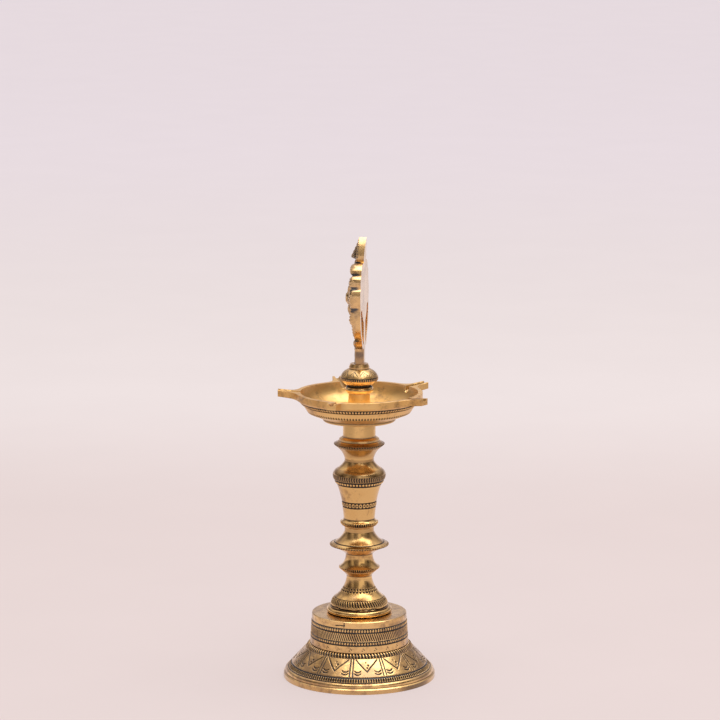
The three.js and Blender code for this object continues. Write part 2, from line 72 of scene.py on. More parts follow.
# Rim of the bowl, its spouts and wick channels, and the dish inside it
RIM = Sizes(
    radius=0.0433, width=0.0031, height=0.0044, arc_parts=92, top_rows=16,
    under_shares=np.linspace(0.1, 1, 4), wall_shares=(0, 0.3, 0.7, 1),
)
SPOUT = Sizes(
    count=5, reach=0.05545, tip=0.0033, neck=0.0039, neck_at=0.049, root=0.0126, pull=0.00435,
    pull_at=0.044, end_parts=16, side_parts=12, blend_parts=26, climb=0.0014,
)
ROOT_ANGLE = np.arcsin(SPOUT.root / RIM.radius)
CHANNEL = Sizes(
    half_width=0.0018, start=0.037, depth_at_start=0.005, depth_at_tip=0.0017,
    ease_inside=0.0001, ease_outside=0.0003, patina_share=0.3,
)
DISH = Sizes(
    floor=0.024, floor_up=0.0048, full=0.038, side_depth=0.0118, side_parts=40,
    post_foot=((0.0115, 0.0036), (0.0088, 0.0034), (0.00825, 0.0058)), foot_parts=10,
    post_radius=0.0071, post_below_rim=0.0004, post_low=0.002, row_step=0.0008,
)

# Finial
FINIAL_TURN = radians(-4.5)
PLATE = Sizes(
    half_width=0.027, upper=0.03, lower=0.0325, squareness=2.8, notch=0.0018, back=0.0036,
    front=0.0027, ring_front=0.0008, slope_top=-0.008, slope_bottom=-0.013,
)
LOBE_EDGES = np.radians([-78, -48, -2, 20, 44, 82, 98, 136, 160, 182, 228, 258]).tolist()
LOBE_PARTS = 24
OPENING = Sizes(
    side_band=0.005, bottom_band=0.004, hub=0.0166, top_drop=0.0024, beside_stalk=0.0008, parts=40
)
STALK = Sizes(
    half_width=0.004, half_depth=0.0032, foot=0.009, scale_pitch=0.0042, parts=60,
    behind_hub=0.001, scale_slant=0.9, edge_share=1.02, crown_share=1.15,
    crown_rise_share=0.4, scale_rise_share=0.1, stain_at=0.0025, stain_half=0.004,
)
ROSETTE = Sizes(
    rise=0.0037, boss_radius=0.0058, boss_rise=0.0066, boss_groove=0.0006, rib_pitch=0.0015,
    rib_height=0.00016, pearl_radius=0.0157, line_share=0.62, vein_share=0.2, ribs_from_share=0.35,
    boss_powers=(3, 0.4), boss_pearls_share=0.8,
    petals=Sizes(count=8, shift=0, reach=0.0148, root=0.0034, half_width=0.0045, rise=0.0044),
    under_petals=Sizes(count=8, shift=0.5, reach=0.0147, root=0.006, half_width=0.003, rise=0.0026),
)
PETAL_VEIN = (0.0001, 0.0004)  # how far from its middle a cut begins to rise and ends
BOSS_LINE = (0.0002, 0.0005)
PEARL = Sizes(
    inset=0.0016, pitch=0.0021, size=0.0009, from_turn=radians(-80), to_turn=radians(8), turn_parts=200
)
GADROON = Sizes(
    half_height=0.0023, swell=0.0017, length_share=0.42, inset=0.0029, flute_pitch=0.0024,
    flute_share=0.22,
)
LEAF = Sizes(
    sink=0.003, height=0.018, foot=0.0055, pull=0.01, pull_up=0.007, vein_pitch=0.002,
    vein_height=0.00035, vein_slant=0.8, thickness=0.0052, lean=0.0012,
)
BUD = Sizes(half_width=0.0056, foot=0.003, full=0.0052, tip_share=0.1, front=0.0056)
LEAF_BOTTOM = PLATE.upper - LEAF.sink
STALK_BOTTOM = -PLATE.lower - STALK.foot
WALL_SHARES = (0.06, 0.25, 0.5, 0.75, 0.95)
PLAQUE_STEP = 0.00042
PLAQUE_EDGE = 0.0004
PLAQUE_EDGE_REACH = 2.2 * PLAQUE_EDGE
PLAN_SCALE = 1000
PLAN_WELD = 0.001

# Old dirt on the plaque: from where to where it thins out, and how dark it is
NOTCH_DIRT = (0.0006, 0.002)
RELIEF_DIRT = (0.0003, 0.0012)
CLEAN_EDGE = (0.0006, 0.0022)
VEIN_DIRT = (-0.6, 0.4)  # on the way from the bottom of a cut, -1, to a ridge, 1
PLAQUE_DIRT = Sizes(
    most_share=0.8, least_share=0.12, relief_share=0.7, ground_share=0.33, stalk_share=0.3,
    back_share=0.03, stalk_side_share=0.26, stain_share=0.16, wall_share=0.3,
)

# Mesh
BELL_COLUMNS = 1200
STEM_COLUMNS = 640
KNOB_COLUMNS = 480
RING_COLUMNS = 160
SCREW_COLUMNS = 48
NUT_COLUMNS = 120
FINE_STEP = 0.0003  # between rows, where a band is engraved
CURVE_STEP = 0.0008  # between rows of a swelling band
PLAIN_SHARES = (0, 0.04, 0.12, 0.3, 0.5, 0.7, 0.88, 0.96, 1)
EDGE_ROUNDING = 0.00016
ROUNDED_FROM = radians(24)
ROUNDING_LIMIT_SHARE = 0.4
SAME_PLACE = 0.000001
TINY = 1e-12  # keeps a division from being by zero
CREASE = radians(42)
# Patina and painted shade in the recesses of the turned outlines
RECESS_REACH = 0.0008  # how far off the surface is compared with, to find recesses
RECESS_CLEAN = 0.00003
RECESS_DARK = 0.00022
RECESS_SHARE = 0.4
BAKE_MAP = "OFBake"
GRID_MAP_SHARE = 0.9
SEAM_SHARE = 1.001
CAP_MAP_SHARE = 0.03


def smooth(low, high, value):
    """0 below low, 1 above high, and a smooth step between them."""
    share = np.clip((value - low) / (high - low), 0, 1)
    return share * share * (3 - 2 * share)


def around(angle):
    """Points of a circle of radius 1."""
    return np.stack([np.cos(angle), np.sin(angle)], axis=-1)


def lengths_along(points):
    """How far along a flat line of points each of them is."""
    return np.append(0, np.cumsum(np.hypot(*np.diff(points, axis=0).T)))


# Engraving. A relief takes a strip of surface (radius and share of the way across by row, angle
# by column, slant length), and gives its height over the plain surface and how dark it is.
CUT = 0.0006  # width of an engraved line
CUT_DEPTH = 0.00028
BEAD_PROUD = 0.0002
BEAD_SINK = 0.0004
TOOTH_DEPTH = 0.0005
# From where to where a mark fades out, as shares of its width or of its height
DOT_FADE_SHARES = (0.5, 1.15)
LINE_FADE_SHARES = (0.3, 0.8)
STROKE_FADE_SHARES = (0.3, 0.85)
WAVE_FADE_SHARES = (0.4, 1)
BEAD_DARK_SHARES = (0.1, 0.62)
TOOTH_END_SHARE = 0.06
TOOTH_SIDE_SHARE = 0.13
LINK_EDGE_SHARES = (0.7, 1.15)
LINK_DIMPLE_SHARES = (0.02, 0.14)
LINK_DIMPLE_DEPTH_SHARE = 0.8
STAIN_EDGE_SHARE = 0.2
PAINTED_SHADE_EDGE_SHARE = 0.3
THREAD_DARK_SHARE = 0.35


def maker(relief):
    """Lets a relief be given its sizes first, and its strip later."""
    return lambda *sizes, **named: lambda strip: relief(strip, *sizes, **named)


def across_repeat(strip, count, shift=0):
    """How far each column is from the middle of its repeat, along the surface."""
    place = (strip.angle * count / TAU + shift) % 1 - 0.5
    return place * TAU * strip.radius / count


def beyond(edge, soft, value):
    """0 before an edge and 1 past it, with a step of twice the softness."""
    return smooth(edge - soft, edge + soft, value)


def marked(away, width, fade_shares, depth):
    """Height and darkness of a mark, from how far off its middle each place is."""
    low_share, high_share = fade_shares
    cut = 1 - smooth(width * low_share, width * high_share, away)
    return -depth * cut, cut


@maker
def beads(strip, count, proud=BEAD_PROUD, sink=BEAD_SINK, fill_share=0.8):
    across = across_repeat(strip, count) / (fill_share * pi * strip.radius / count)
    up = (strip.share - 0.5) * 2 / fill_share
    dome = np.sqrt(np.clip(1 - across**2 - up**2, 0, 1))
    return dome * (proud + sink) - sink, 1 - smooth(*BEAD_DARK_SHARES, dome)


@maker
def teeth(strip, count, duty_share, low_share=0.0, high_share=1.0, lean=0, depth=TOOTH_DEPTH):
    """Upright or leaning cuts between teeth."""
    place = np.abs((strip.angle * count / TAU + lean * strip.share) % 1 - 0.5)
    window = beyond(low_share, TOOTH_END_SHARE, strip.share)
    window = window * (1 - beyond(high_share, TOOTH_END_SHARE, strip.share))
    cut = window * (1 - beyond(duty_share / 2, TOOTH_SIDE_SHARE, place))
    return -depth * cut, cut


@maker
def dots(strip, count, at_share, size, depth, shift=0):
    up = (strip.share - at_share) * strip.length
    away = np.hypot(across_repeat(strip, count, shift), up)
    return marked(away, size, DOT_FADE_SHARES, depth)


@maker
def ring(strip, at_share, width, depth):
    away = np.abs(strip.share - at_share) * strip.length + 0 * strip.angle
    return marked(away, width, LINE_FADE_SHARES, depth)


@maker
def strokes(strip, count, lines, shift=0, width=CUT, depth=CUT_DEPTH):
    """Straight cuts from one (across, up) to another, both as shares of the panel."""
    x = across_repeat(strip, count, shift)
    y = strip.share * strip.length + 0 * x
    pitch = TAU * strip.radius / count
    nearest = np.full_like(x, np.inf)
    for (x0, y0), (x1, y1) in lines:
        x_from, y_from = x0 * pitch, y0 * strip.length
        x_run, y_run = (x1 - x0) * pitch, (y1 - y0) * strip.length
        along = ((x - x_from) * x_run + (y - y_from) * y_run) / (x_run**2 + y_run**2)
        along = np.clip(along, 0, 1)
        away = np.hypot(x - x_from - along * x_run, y - y_from - along * y_run)
        nearest = np.minimum(nearest, away)
    return marked(nearest, width, STROKE_FADE_SHARES, depth)


@maker
def waves(strip, count, at_share, swing_share, width, depth):
    """A dark groove that runs round in uneven waves."""
    swing = np.sin(strip.angle * count) + np.sin(strip.angle * (count * 2 + 3)) / 2
    away = np.abs(strip.share - at_share - swing_share * swing) * strip.length
    return marked(away, width, WAVE_FADE_SHARES, depth)


@maker
def cells(strip, count, fill_share, depth):
    """Rounded links side by side, each with a dimple, on a sunk dark ground."""
    x = np.abs((strip.angle * count / TAU) % 1 - 0.5) * 2 / fill_share
    y = np.abs(strip.share - 0.5) * 2 / fill_share
    size = x**3 + y**3
    dimple = LINK_DIMPLE_DEPTH_SHARE * (1 - smooth(*LINK_DIMPLE_SHARES, size))
    cut = np.maximum(smooth(*LINK_EDGE_SHARES, size), dimple)
    return -depth * cut, cut


@maker
def stain(strip, at, half_width, strength_share):
    """Old dark patina on one side, strongest at an angle round the axis."""
    away = np.abs((strip.angle - at + pi) % TAU - pi) / half_width
    dirt = strength_share * (1 - smooth(STAIN_EDGE_SHARE, 1, away)) + 0 * strip.share
    return 0 * dirt, dirt


@maker
def painted_shade(strip, strength_share, at_share=0.5, half_share=1.0):
    """Painted shade: a veil of darker brass all the way round, strongest at one height of the band."""
    away = np.abs(strip.share - at_share) / half_share
    dirt = strength_share * (1 - smooth(PAINTED_SHADE_EDGE_SHARE, 1, away)) + 0 * strip.angle
    return 0 * dirt, dirt


@maker
def thread(strip, pitch, depth):
    phase = (strip.share * strip.length / pitch - strip.angle / TAU) % 1
    sunk = 1 - np.abs(2 * phase - 1)
    return -depth * sunk, smooth(THREAD_DARK_SHARE, 1, sunk)


@maker
def together(strip, *reliefs):
    made = [relief(strip) for relief in reliefs]
    return sum(height for height, _ in made), np.maximum.reduce([dirt for _, dirt in made])


def dark(strip):
    none = np.zeros_like(strip.radius * strip.angle)
    return none, none + 1


def arc_strokes(middle, at_share, half_width, sag, parts=4):
    """Straight pieces of a shallow curve that sags in its middle."""
    x = np.linspace(-1, 1, parts + 1)
    places = [(middle + half_width * t, at_share + sag * (t * t - 1)) for t in x]
    return list(zip(places, places[1:]))


# Marks of the tools: width and depth of dots and lines, and lines as shares of their panels. The last two
# marks have no depth: they are painted shadow lines.
MARK = Sizes(
    prick=(0.0004, 0.00025), small=(0.0005, 0.0003), middle=(0.0006, 0.0003), broad=(0.0008, 0.0003),
    deep=(0.0007, 0.0004), deep_broad=(0.0008, 0.0004), deep_small=(0.0005, 0.0004),
    deep_line=(0.001, 0.0004), line=(CUT, 0.0003), faint_line=(CUT, 0.0002), fine_line=(0.0004, 0.0002),
    dirt=(0.0007, 0), broad_dirt=(0.001, 0),
)
WHOLE = (-0.2, 1.2)  # teeth that run past both edges of their band
PANELS = 12
PANEL_SHIFT = 5.5 / 360 * PANELS + 0.5  # the double lines' place round the skirt
DOUBLE_LINES = [((side, 0), (side, 1)) for side in (-0.045, 0.045)]
CRESCENTS = [
    stroke
    for side in (-0.19, 0.19)
    for at in (0.2, 0.34)
    for stroke in arc_strokes(side, at, 0.09, 0.07)
]
CHEVRON = [((-0.37, 0.95), (-0.02, 0.3)), ((-0.02, 0.3), (0.1, 0.55)), ((0.1, 0.55), (0.37, 0.95))]
SCRATCH = [((0, 0.25), (0.001, 0.95)), ((-0.03, 0.42), (0.003, 0.5))]
SCRATCH_SHIFT = 17 / 360 + 0.5
KNOB_PANELS = 10
KNOB_CHEVRON = [((-0.4, 0.25), (0, 0.75)), ((0, 0.75), (0.4, 0.25)), ((0, 0.2), (0, 0.5))]
EDGED = together(ring(0.03, *MARK.line), ring(0.97, *MARK.line))


def band(name, rise, low, high=None, bow=0, relief=None):
    """A band of an outline: its rise, its lower and upper radius, and how far its middle swells
    out of the straight line. A lower radius of None carries on from the band below."""
    high = low if high is None else high
    return Sizes(name=name, rise=rise, low=low, high=high, bow=bow, relief=relief)


def groove(name, rise, radius):
    return band(name, rise, radius, relief=dark)


# Outlines of the turned pieces, upwards. Their darker bands all the way round are painted shade, under
# collars, flanges and the bowl and where the brass mirrors shade.
BELL = (
    band("table_rim", 0.003, 0.0521, relief=together(stain(radians(50), radians(30), 0.42), painted_shade(0.18))),
    band("table_rim_edge", 0.0007, None, 0.05121),
    band("round_moulding", 0.00315, 0.0509, 0.0497, 0.00075, stain(radians(62), radians(18), 0.3)),
    band(
        "lower_beads", 0.00365, 0.04929, 0.0465,
        relief=together(teeth(172, 0.5, 0.2, 0.72), ring(0.08, *MARK.small), ring(0.86, *MARK.deep_line)),
    ),
    band(
        "skirt", 0.0103, None, 0.03689,
        relief=together(
            strokes(PANELS, DOUBLE_LINES + CRESCENTS, PANEL_SHIFT),
            strokes(PANELS, CHEVRON, PANEL_SHIFT + 0.5),
            dots(PANELS, 0.8, *MARK.small, PANEL_SHIFT + 0.54),
            dots(PANELS, 0.66, *MARK.broad, PANEL_SHIFT + 0.47),
            dots(PANELS, 0.52, *MARK.middle, PANEL_SHIFT + 0.51),
        ),
    ),
    band("rope", 0.0029, 0.03647, 0.03439, 0.0005, teeth(102, 0.5, lean=0.35, depth=0.0008)),
    groove("foot_groove", 0.0003, 0.03319),
    band(
        "drum_foot", 0.00465, 0.03376, 0.03366,
        relief=together(
            dots(24, 0.5, *MARK.prick), dots(24, 0.66, *MARK.prick, 0.08), dots(24, 0.36, *MARK.prick, 0.16)
        ),
    ),
    groove("foot_edge_groove", 0.0003, 0.03308),
    band("middle_beads", 0.0025, 0.0334, relief=together(beads(106), EDGED)),
    groove("middle_groove", 0.0003, 0.03301),
    band("hatched", 0.0055, 0.03334, 0.03311, relief=teeth(132, 0.46, 0.06, 0.94, lean=1.3)),
    groove("upper_groove", 0.0003, 0.03261),
    band("upper_beads", 0.00295, 0.0329, 0.03285, relief=together(beads(106), EDGED)),
    groove("top_groove", 0.0003, 0.03241),
    band("drum_top", 0.00405, 0.03264, 0.03251, relief=strokes(1, SCRATCH, SCRATCH_SHIFT, CUT * 0.8)),
    band("drum_top_edge", 0.00045, None, 0.03199),
)
LOWER_STEM = (
    band("foot_ring", 0.0039, 0.0213, 0.0212, 0.00115, ring(0.02, *MARK.faint_line)),
    band("foot_groove", 0.0008, 0.0193, relief=ring(0.7, *MARK.fine_line)),
    band(
        "dome", 0.0059, 0.0199, 0.0173, 0.0006,
        together(
            teeth(62, 0.44, 0.32, 0.94, lean=1.1, depth=0.0006), waves(5, 0.07, 0.045, *MARK.deep_small)
        ),
    ),
    band("dome_groove", 0.0003, 0.0167, relief=ring(0.5, *MARK.fine_line)),
    band(
        "flare", 0.0133, 0.0169, 0.00875, -0.00155,
        together(dots(32, 0.43, *MARK.deep_broad), dots(32, 0.56, *MARK.deep), painted_shade(0.16, 0.75, 0.4)),
    ),
    band("lower_neck", 0.0017, None, 0.00875),
    band(
        "small_flange", 0.0047, None, 0.0133, -0.00025,
        together(teeth(56, 0.6, 0.66, 1.2, depth=0.0008), painted_shade(0.2, 0.4, 0.6)),
    ),
    band("small_flange_teeth", 0.0005, None, 0.01397, relief=teeth(56, 0.6, *WHOLE, depth=0.001)),
    band("small_flange_rim", 0.0009, None, 0.01397, relief=teeth(56, 0.6, -0.2, 0.8, depth=0.0007)),
    band("small_flange_top", 0.0087, 0.0135, 0.00925, -0.0012, painted_shade(0.2, 0.1, 0.4)),
    band("middle_neck", 0.0006, None, 0.00925),
    band("disc_underside", 0.0054, None, 0.0189, -0.00045, teeth(66, 0.6, 0.8, 1.2, depth=0.0009)),
    band("disc_teeth", 0.0007, None, 0.0203, relief=teeth(66, 0.6, *WHOLE, depth=0.0012)),
    band("disc_rim", 0.0006, None, 0.0203, relief=teeth(66, 0.6, *WHOLE, depth=0.001)),
    band("disc_top", 0.009, 0.02, 0.01005, -0.0015, together(ring(0.24, *MARK.line), painted_shade(0.2, 0.6, 0.6))),
    band("upper_neck", 0.0027, None, 0.01005, relief=painted_shade(0.22)),
)
UPPER_STEM = (
    band("foot", 0.0007, 0.0101, 0.0104),
    band("collar_teeth", 0.0021, 0.0106, 0.01295, 0.0002, teeth(50, 0.66, 0.1, 1.2, depth=0.001)),
    band("collar_rim", 0.0012, None, 0.01295, relief=teeth(50, 0.6, -0.2, 1, depth=0.0009)),
    band("collar_top", 0.0022, None, 0.0106, -0.00035),
    band("lower_cup", 0.0081, None, 0.01145, relief=painted_shade(0.13)),
    groove("lower_ladder_groove", 0.00035, 0.0111),
    band("ladder", 0.0037, 0.01165, 0.012, relief=cells(29, 0.8, depth=0.0004)),
    groove("upper_ladder_groove", 0.00035, 0.0115),
    band("upper_cup", 0.0113, 0.01205, 0.0152, -0.00025, painted_shade(0.13)),
    groove("lower_bead_groove", 0.00035, 0.0149),
    band("beads", 0.0029, 0.0156, 0.0171, 0.00015, together(beads(47, sink=0.0005), EDGED)),
    groove("upper_bead_groove", 0.00035, 0.0167),
    band(
        "bulge", 0.0026, 0.0174, 0.0181, 0.00015,
        together(teeth(64, 0.42, 0.15, 1.2, lean=0.3, depth=0.0004), painted_shade(0.34)),
    ),
    band(
        "bulge_top", 0.0014, None, 0.018, 0.00012,
        together(teeth(64, 0.42, -0.2, 0.7, lean=0.3, depth=0.0004), painted_shade(0.34)),
    ),
    band("shoulder", 0.0034, None, 0.01495, 0.00045, painted_shade(0.28)),
    band("shoulder_top", 0.0054, None, 0.01, -0.0005, painted_shade(0.2, 0.9, 0.8)),
    band("waist", 0.0018, None, 0.01, relief=painted_shade(0.26)),
    band(
        "top_flange", 0.0088, None, 0.0164, -0.001,
        together(dots(56, 0.9, *MARK.deep), painted_shade(0.22, 0.5, 0.8)),
    ),
    band("top_flange_edge", 0.0008, None, 0.0173, relief=together(teeth(60, 0.5, *WHOLE), painted_shade(0.42))),
    band("top_flange_rim", 0.0007, None, 0.0173, relief=together(teeth(60, 0.5, *WHOLE), painted_shade(0.38))),
    band("top_flange_step", 0.0017, 0.0168, 0.0142, relief=painted_shade(0.34, 0, 1.4)),
    band("step_collar", 0.0016, 0.0139, 0.0136, relief=painted_shade(0.26)),
    band("step_collar_top", 0.0012, None, 0.0116),
    band("neck", 0.0112, 0.0112, 0.01115),
)
BOWL = (
    band("boss_edge", 0.0005, 0.02425, 0.02481),
    band("boss", 0.0013, None, 0.02481, relief=painted_shade(0.26)),
    band("underside", 0.0043, None, 0.03499),
    band("underside_edge", 0.0009, None, 0.0357, relief=dots(112, 0.4, *MARK.deep)),
    band("side", 0.0038, None, 0.038, relief=dots(112, 0.04, *MARK.middle)),
    band("beads", 0.0024, None, 0.041, relief=together(beads(120, proud=0.0001, sink=0.0005), EDGED)),
    band("under_rim", 0.002, None, 0.04261, -0.0001, ring(0.15, *MARK.faint_line)),
)
# The dark line round the top of the ring is a painted shadow under the knob.
RING = (band("torus", 0.0046, 0.0084, 0.0084, 0.00125, ring(0.98, *MARK.dirt)),)
KNOB = (
    # The knob's dark foot groove and the dark line low on its underside are painted shadow over the ring.
    groove("foot", 0.0009, 0.0078),
    band("underside", 0.0036, 0.008, 0.0127, 0.0006, ring(0.05, *MARK.broad_dirt)),
    band("teeth", 0.0016, 0.01295, 0.013, relief=teeth(52, 0.45, *WHOLE)),
    groove("groove", 0.0006, 0.0123),
    band(
        "crown", 0.0053, 0.01295, 0.0073, 0.00075,
        together(strokes(KNOB_PANELS, KNOB_CHEVRON, 0, CUT / 2, CUT_DEPTH / 3), painted_shade(0.14)),
    ),
    groove("cap_groove", 0.0003, 0.0063),
    band("cap", 0.0011, 0.007),
    band("cap_top", 0.0021, None, 0.0061),
)


# Points of the outlines, engraved
def shares_across(layer, run):
    length = hypot(layer.rise, run)
    if layer.relief:
        return np.linspace(0, 1, ceil(length / FINE_STEP) + 1)
    if layer.bow:
        return np.linspace(0, 1, ceil(length / CURVE_STEP) + 2)
    return PLAIN_SHARES


def stack(bands):
    """Points up the bands: radius, height, number of the band and share of the way across it."""
    points = []
    radius = height = 0
    for number, layer in enumerate(bands):
        low = radius if layer.low is None else layer.low
        run = layer.high - low
        pull = 4 * layer.bow / hypot(layer.rise, run)
        for share in shares_across(layer, run):
            swell = pull * share * (1 - share)
            out = low + run * share + layer.rise * swell
            up = height + layer.rise * share - run * swell
            points.append((out, up, number, share))
        radius = layer.high
        height += layer.rise
    return points


def plain(*points):
    """Points of no band, from (radius, height) pairs."""
    return [(out, up, -1, 0) for out, up in points]


def spaced(points, step):
    """The same outline with more points, where a straight stretch is longer than step."""
    made = [points[0]]
    for start, end in zip(points, points[1:]):
        if start[2] == end[2] == -1:
            parts = ceil(hypot(end[0] - start[0], end[1] - start[1]) / step)
            for part in range(1, parts):
                made.append(tuple(np.add(start, (np.subtract(end, start) * part / parts))))
        made.append(end)
    return made


def rounded(points, size=EDGE_ROUNDING):
    """The outline with its sharp corners eased and doubled points left out."""
    kept = points[:1]
    for point in points[1:]:
        if hypot(point[0] - kept[-1][0], point[1] - kept[-1][1]) > SAME_PLACE:
            kept.append(point)
    made = kept[:1]
    for before, at, after in zip(kept, kept[1:], kept[2:]):
        corner = np.array(at[:2])
        back = before[:2] - corner
        ahead = after[:2] - corner
        back_length, ahead_length = np.hypot(*back), np.hypot(*ahead)
        if -back @ ahead > cos(ROUNDED_FROM) * back_length * ahead_length:
            made.append(at)
            continue
        first = corner + back * min(size / back_length, ROUNDING_LIMIT_SHARE)
        last = corner + ahead * min(size / ahead_length, ROUNDING_LIMIT_SHARE)
        for place in (first, (first + last) / 4 + corner / 2, last):
            made.append((*place, *at[2:]))
    return made + kept[-1:]


def recess_patina_and_shade(radius, height, normal):
    """How dark each point of an outline is for lying deeper than its neighbourhood: old patina and painted
    shade in the hollows.
    """
    along = lengths_along(np.column_stack([radius, height]))
    sunk = -radius * normal[0] - height * normal[1]
    for way in (-RECESS_REACH, RECESS_REACH):
        sunk += np.interp(along + way, along, radius) * normal[0] / 2
        sunk += np.interp(along + way, along, height) * normal[1] / 2
    return RECESS_SHARE * smooth(RECESS_CLEAN, RECESS_DARK, sunk)


def engraved_rows(points, bands, angle):
    """Radius, height and darkness, rows by columns, of an outline with its engraving. The darkness is
    patina, dark engraving and painted shade.
    """
    radius, height, number, share = np.array(points).T
    run, rise = np.gradient(radius), np.gradient(height)
    normal = np.array((rise, -run)) / np.hypot(run, rise)
    relief = np.zeros((len(points), len(angle)))
    dirt = relief + recess_patina_and_shade(radius, height, normal)[:, None]
    for index, layer in enumerate(bands):
        if not layer.relief:
            continue
        rows = number == index
        first, last = np.flatnonzero(rows)[[0, -1]]
        strip = Sizes(angle=angle[None, :], radius=radius[rows][:, None], share=share[rows][:, None])
        strip.length = hypot(radius[last] - radius[first], layer.rise)
        relief[rows], dark_share = layer.relief(strip)
        dirt[rows] = np.maximum(dirt[rows], dark_share)
    out = radius[:, None] + normal[0][:, None] * relief
    up = height[:, None] + normal[1][:, None] * relief
    return out, up, dirt


# Meshes
def mesh_piece(name, points, loops, starts, patina_and_shade, unwrap=None):
    mesh = bpy.data.meshes.new(name)
    mesh.vertices.add(len(points))
    mesh.vertices.foreach_set("co", points.astype(np.float32).ravel())
    mesh.loops.add(len(loops))
    mesh.loops.foreach_set("vertex_index", loops.astype(np.int32))
    mesh.polygons.add(len(starts))
    mesh.polygons.foreach_set("loop_start", starts.astype(np.int32))
    mesh.update(calc_edges=True)
    mesh.attributes.new("patina_and_shade", "FLOAT", "POINT").data.foreach_set("value", patina_and_shade.astype(np.float32))
    if unwrap is not None:
        mesh.uv_layers.new(name=BAKE_MAP).data.foreach_set("uv", unwrap.astype(np.float32).ravel())
    mesh.shade_smooth()
    mesh.set_sharp_from_angle(angle=CREASE)
    made = bpy.data.objects.new(name, mesh)
    bpy.context.scene.collection.objects.link(made)
    return made


def grid_piece(name, points, patina_and_shade, closed):
    """A piece from rows of points that run round the axis, capped at both ends if not closed."""
    rows, columns = points.shape[:2]
    index = np.arange(rows * columns).reshape(rows, columns)
    upper = np.roll(index, -1, axis=0)
    quads = np.stack([index, np.roll(index, -1, 1), np.roll(upper, -1, 1), upper], axis=-1)
    quads = (quads if closed else quads[:-1]).reshape(-1, 4)
    loops = quads.ravel()
    starts = np.arange(len(quads)) * 4
    length = np.append(0, np.cumsum(np.linalg.norm(np.diff(points[:, 0], axis=0), axis=-1)))
    tall = np.append(length, length[-1] * SEAM_SHARE) / length[-1] * GRID_MAP_SHARE
    u = (quads[:, :1] % columns + np.array([0, 1, 1, 0])) / columns
    v = tall[quads[:, :1] // columns + np.array([0, 0, 1, 1])]
    unwrap = np.stack([u, v], axis=-1).reshape(-1, 2)
    if not closed:
        circle = around(columns_round(columns)) * CAP_MAP_SHARE
        for place, cap in enumerate((index[0, ::-1], index[-1])):
            starts = np.append(starts, len(loops))
            loops = np.append(loops, cap)
            middle = (2 * CAP_MAP_SHARE * (place + 1), 1 - 1.5 * CAP_MAP_SHARE)
            unwrap = np.append(unwrap, circle + middle, axis=0)
    return mesh_piece(name, points.reshape(-1, 3), loops, starts, patina_and_shade.ravel(), unwrap)


def columns_round(count):
    return np.arange(count) * TAU / count


def revolved(out, up, angle):
    return np.stack([out * np.cos(angle), out * np.sin(angle), up], axis=-1)


def turned(name, outline, columns, bands=(), bottom=0.0, closed=False):
    angle = columns_round(columns)
    out, up, dirt = engraved_rows(rounded(outline), bands, angle)
    return grid_piece(name, revolved(out, up + bottom, angle), dirt, closed)


def dress(made, node, body, material):
    """The piece stands for a CAD node, moves with its body and takes a finish."""
    made.data.materials.append(material)
    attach(made, body)
    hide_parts(node)


def foot_of(node):
    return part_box(node)[0].z


def total(bands):
    return sum(layer.rise for layer in bands)


# Pieces
def base_bell():
    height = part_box("base_bell")[1].z
    drum = next(i for i, layer in enumerate(BELL) if layer.name == "foot_groove")
    drum_foot = total(BELL[:drum])
    hole = BASE_STUD.radius + CLEARANCE
    inside_drum = BELL[drum + 1].low - DRUM_WALL
    inside_lip = BELL[0].low - LIP_WIDTH
    inside = plain(
        (hole, height - TOP_PLATE / 2),
        (hole, height - TOP_PLATE),
        (inside_drum, height - TOP_PLATE),
        (inside_drum, drum_foot - SLOPE_BELOW_DRUM),
        (inside_lip, LIP_HEIGHT),
        (inside_lip, 0),
    )
    top = plain((BELL[-1].high * TOP_ROW_SHARE, height), (hole, height), (hole, height - TOP_PLATE / 2))
    return turned("bell", inside + stack(BELL) + top, BELL_COLUMNS, BELL, closed=True)


def drilled(name, node, bands, columns, foot, top):
    """A turned body with blind holes for the rods that sit in its foot and its top."""
    height = total(bands)
    foot_radius, foot_depth = foot.radius + CLEARANCE, foot.engagement + CLEARANCE
    top_radius, top_floor = top.radius + CLEARANCE, height - (top.engagement + CLEARANCE)
    below = plain((CAP_RADIUS, foot_depth), (foot_radius, foot_depth), (foot_radius, 0))
    above = plain((top_radius, height), (top_radius, top_floor), (CAP_RADIUS, top_floor))
    return turned(name, below + stack(bands) + above, columns, bands, foot_of(node))


def lower_stem():
    return drilled("lower_stem", "stem_lower", LOWER_STEM, STEM_COLUMNS, BASE_STUD, STEM_STUD)


def upper_stem():
    return drilled("upper_stem", "stem_upper", UPPER_STEM, STEM_COLUMNS, STEM_STUD, BOWL_STUD)


def knob():
    return drilled("knob", "finial_knob", KNOB, KNOB_COLUMNS, BOWL_STUD_IN_KNOB, PEG)


def loose_ring():
    hole, height = BOWL_STUD.radius + CLEARANCE, total(RING)
    middle = (hole, height / 2)
    outline = plain(middle, (hole, 0)) + stack(RING) + plain((hole, height), middle)
    return turned("ring", outline, RING_COLUMNS, RING, foot_of("spacer_ring"), closed=True)


def washer():
    low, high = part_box("base_washer")
    hole, height = BASE_STUD.radius + CLEARANCE, high.z - low.z
    middle = (hole, height / 2)
    outline = plain(middle, (hole, 0), (high.x, 0), (high.x, height), (hole, height), middle)
    return turned("washer", outline, RING_COLUMNS, bottom=low.z, closed=True)


def screw(node, stud, pitch):
    """A threaded stud with chamfered ends."""
    low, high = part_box(node)
    length = high.z - low.z
    cut = thread(pitch, THREAD_DEPTH_SHARE * pitch)
    bands = (band("thread", length - 2 * STUD_CHAMFER, stud.radius, relief=cut),)
    threaded = [(out, up + STUD_CHAMFER, number, share) for out, up, number, share in stack(bands)]
    narrow = stud.radius - STUD_CHAMFER
    ends = plain((CAP_RADIUS, 0), (narrow, 0)), plain((narrow, length), (CAP_RADIUS, length))
    outline = ends[0] + threaded + ends[1]
    return turned(node.replace("stud", "screw"), outline, SCREW_COLUMNS, bands, low.z)


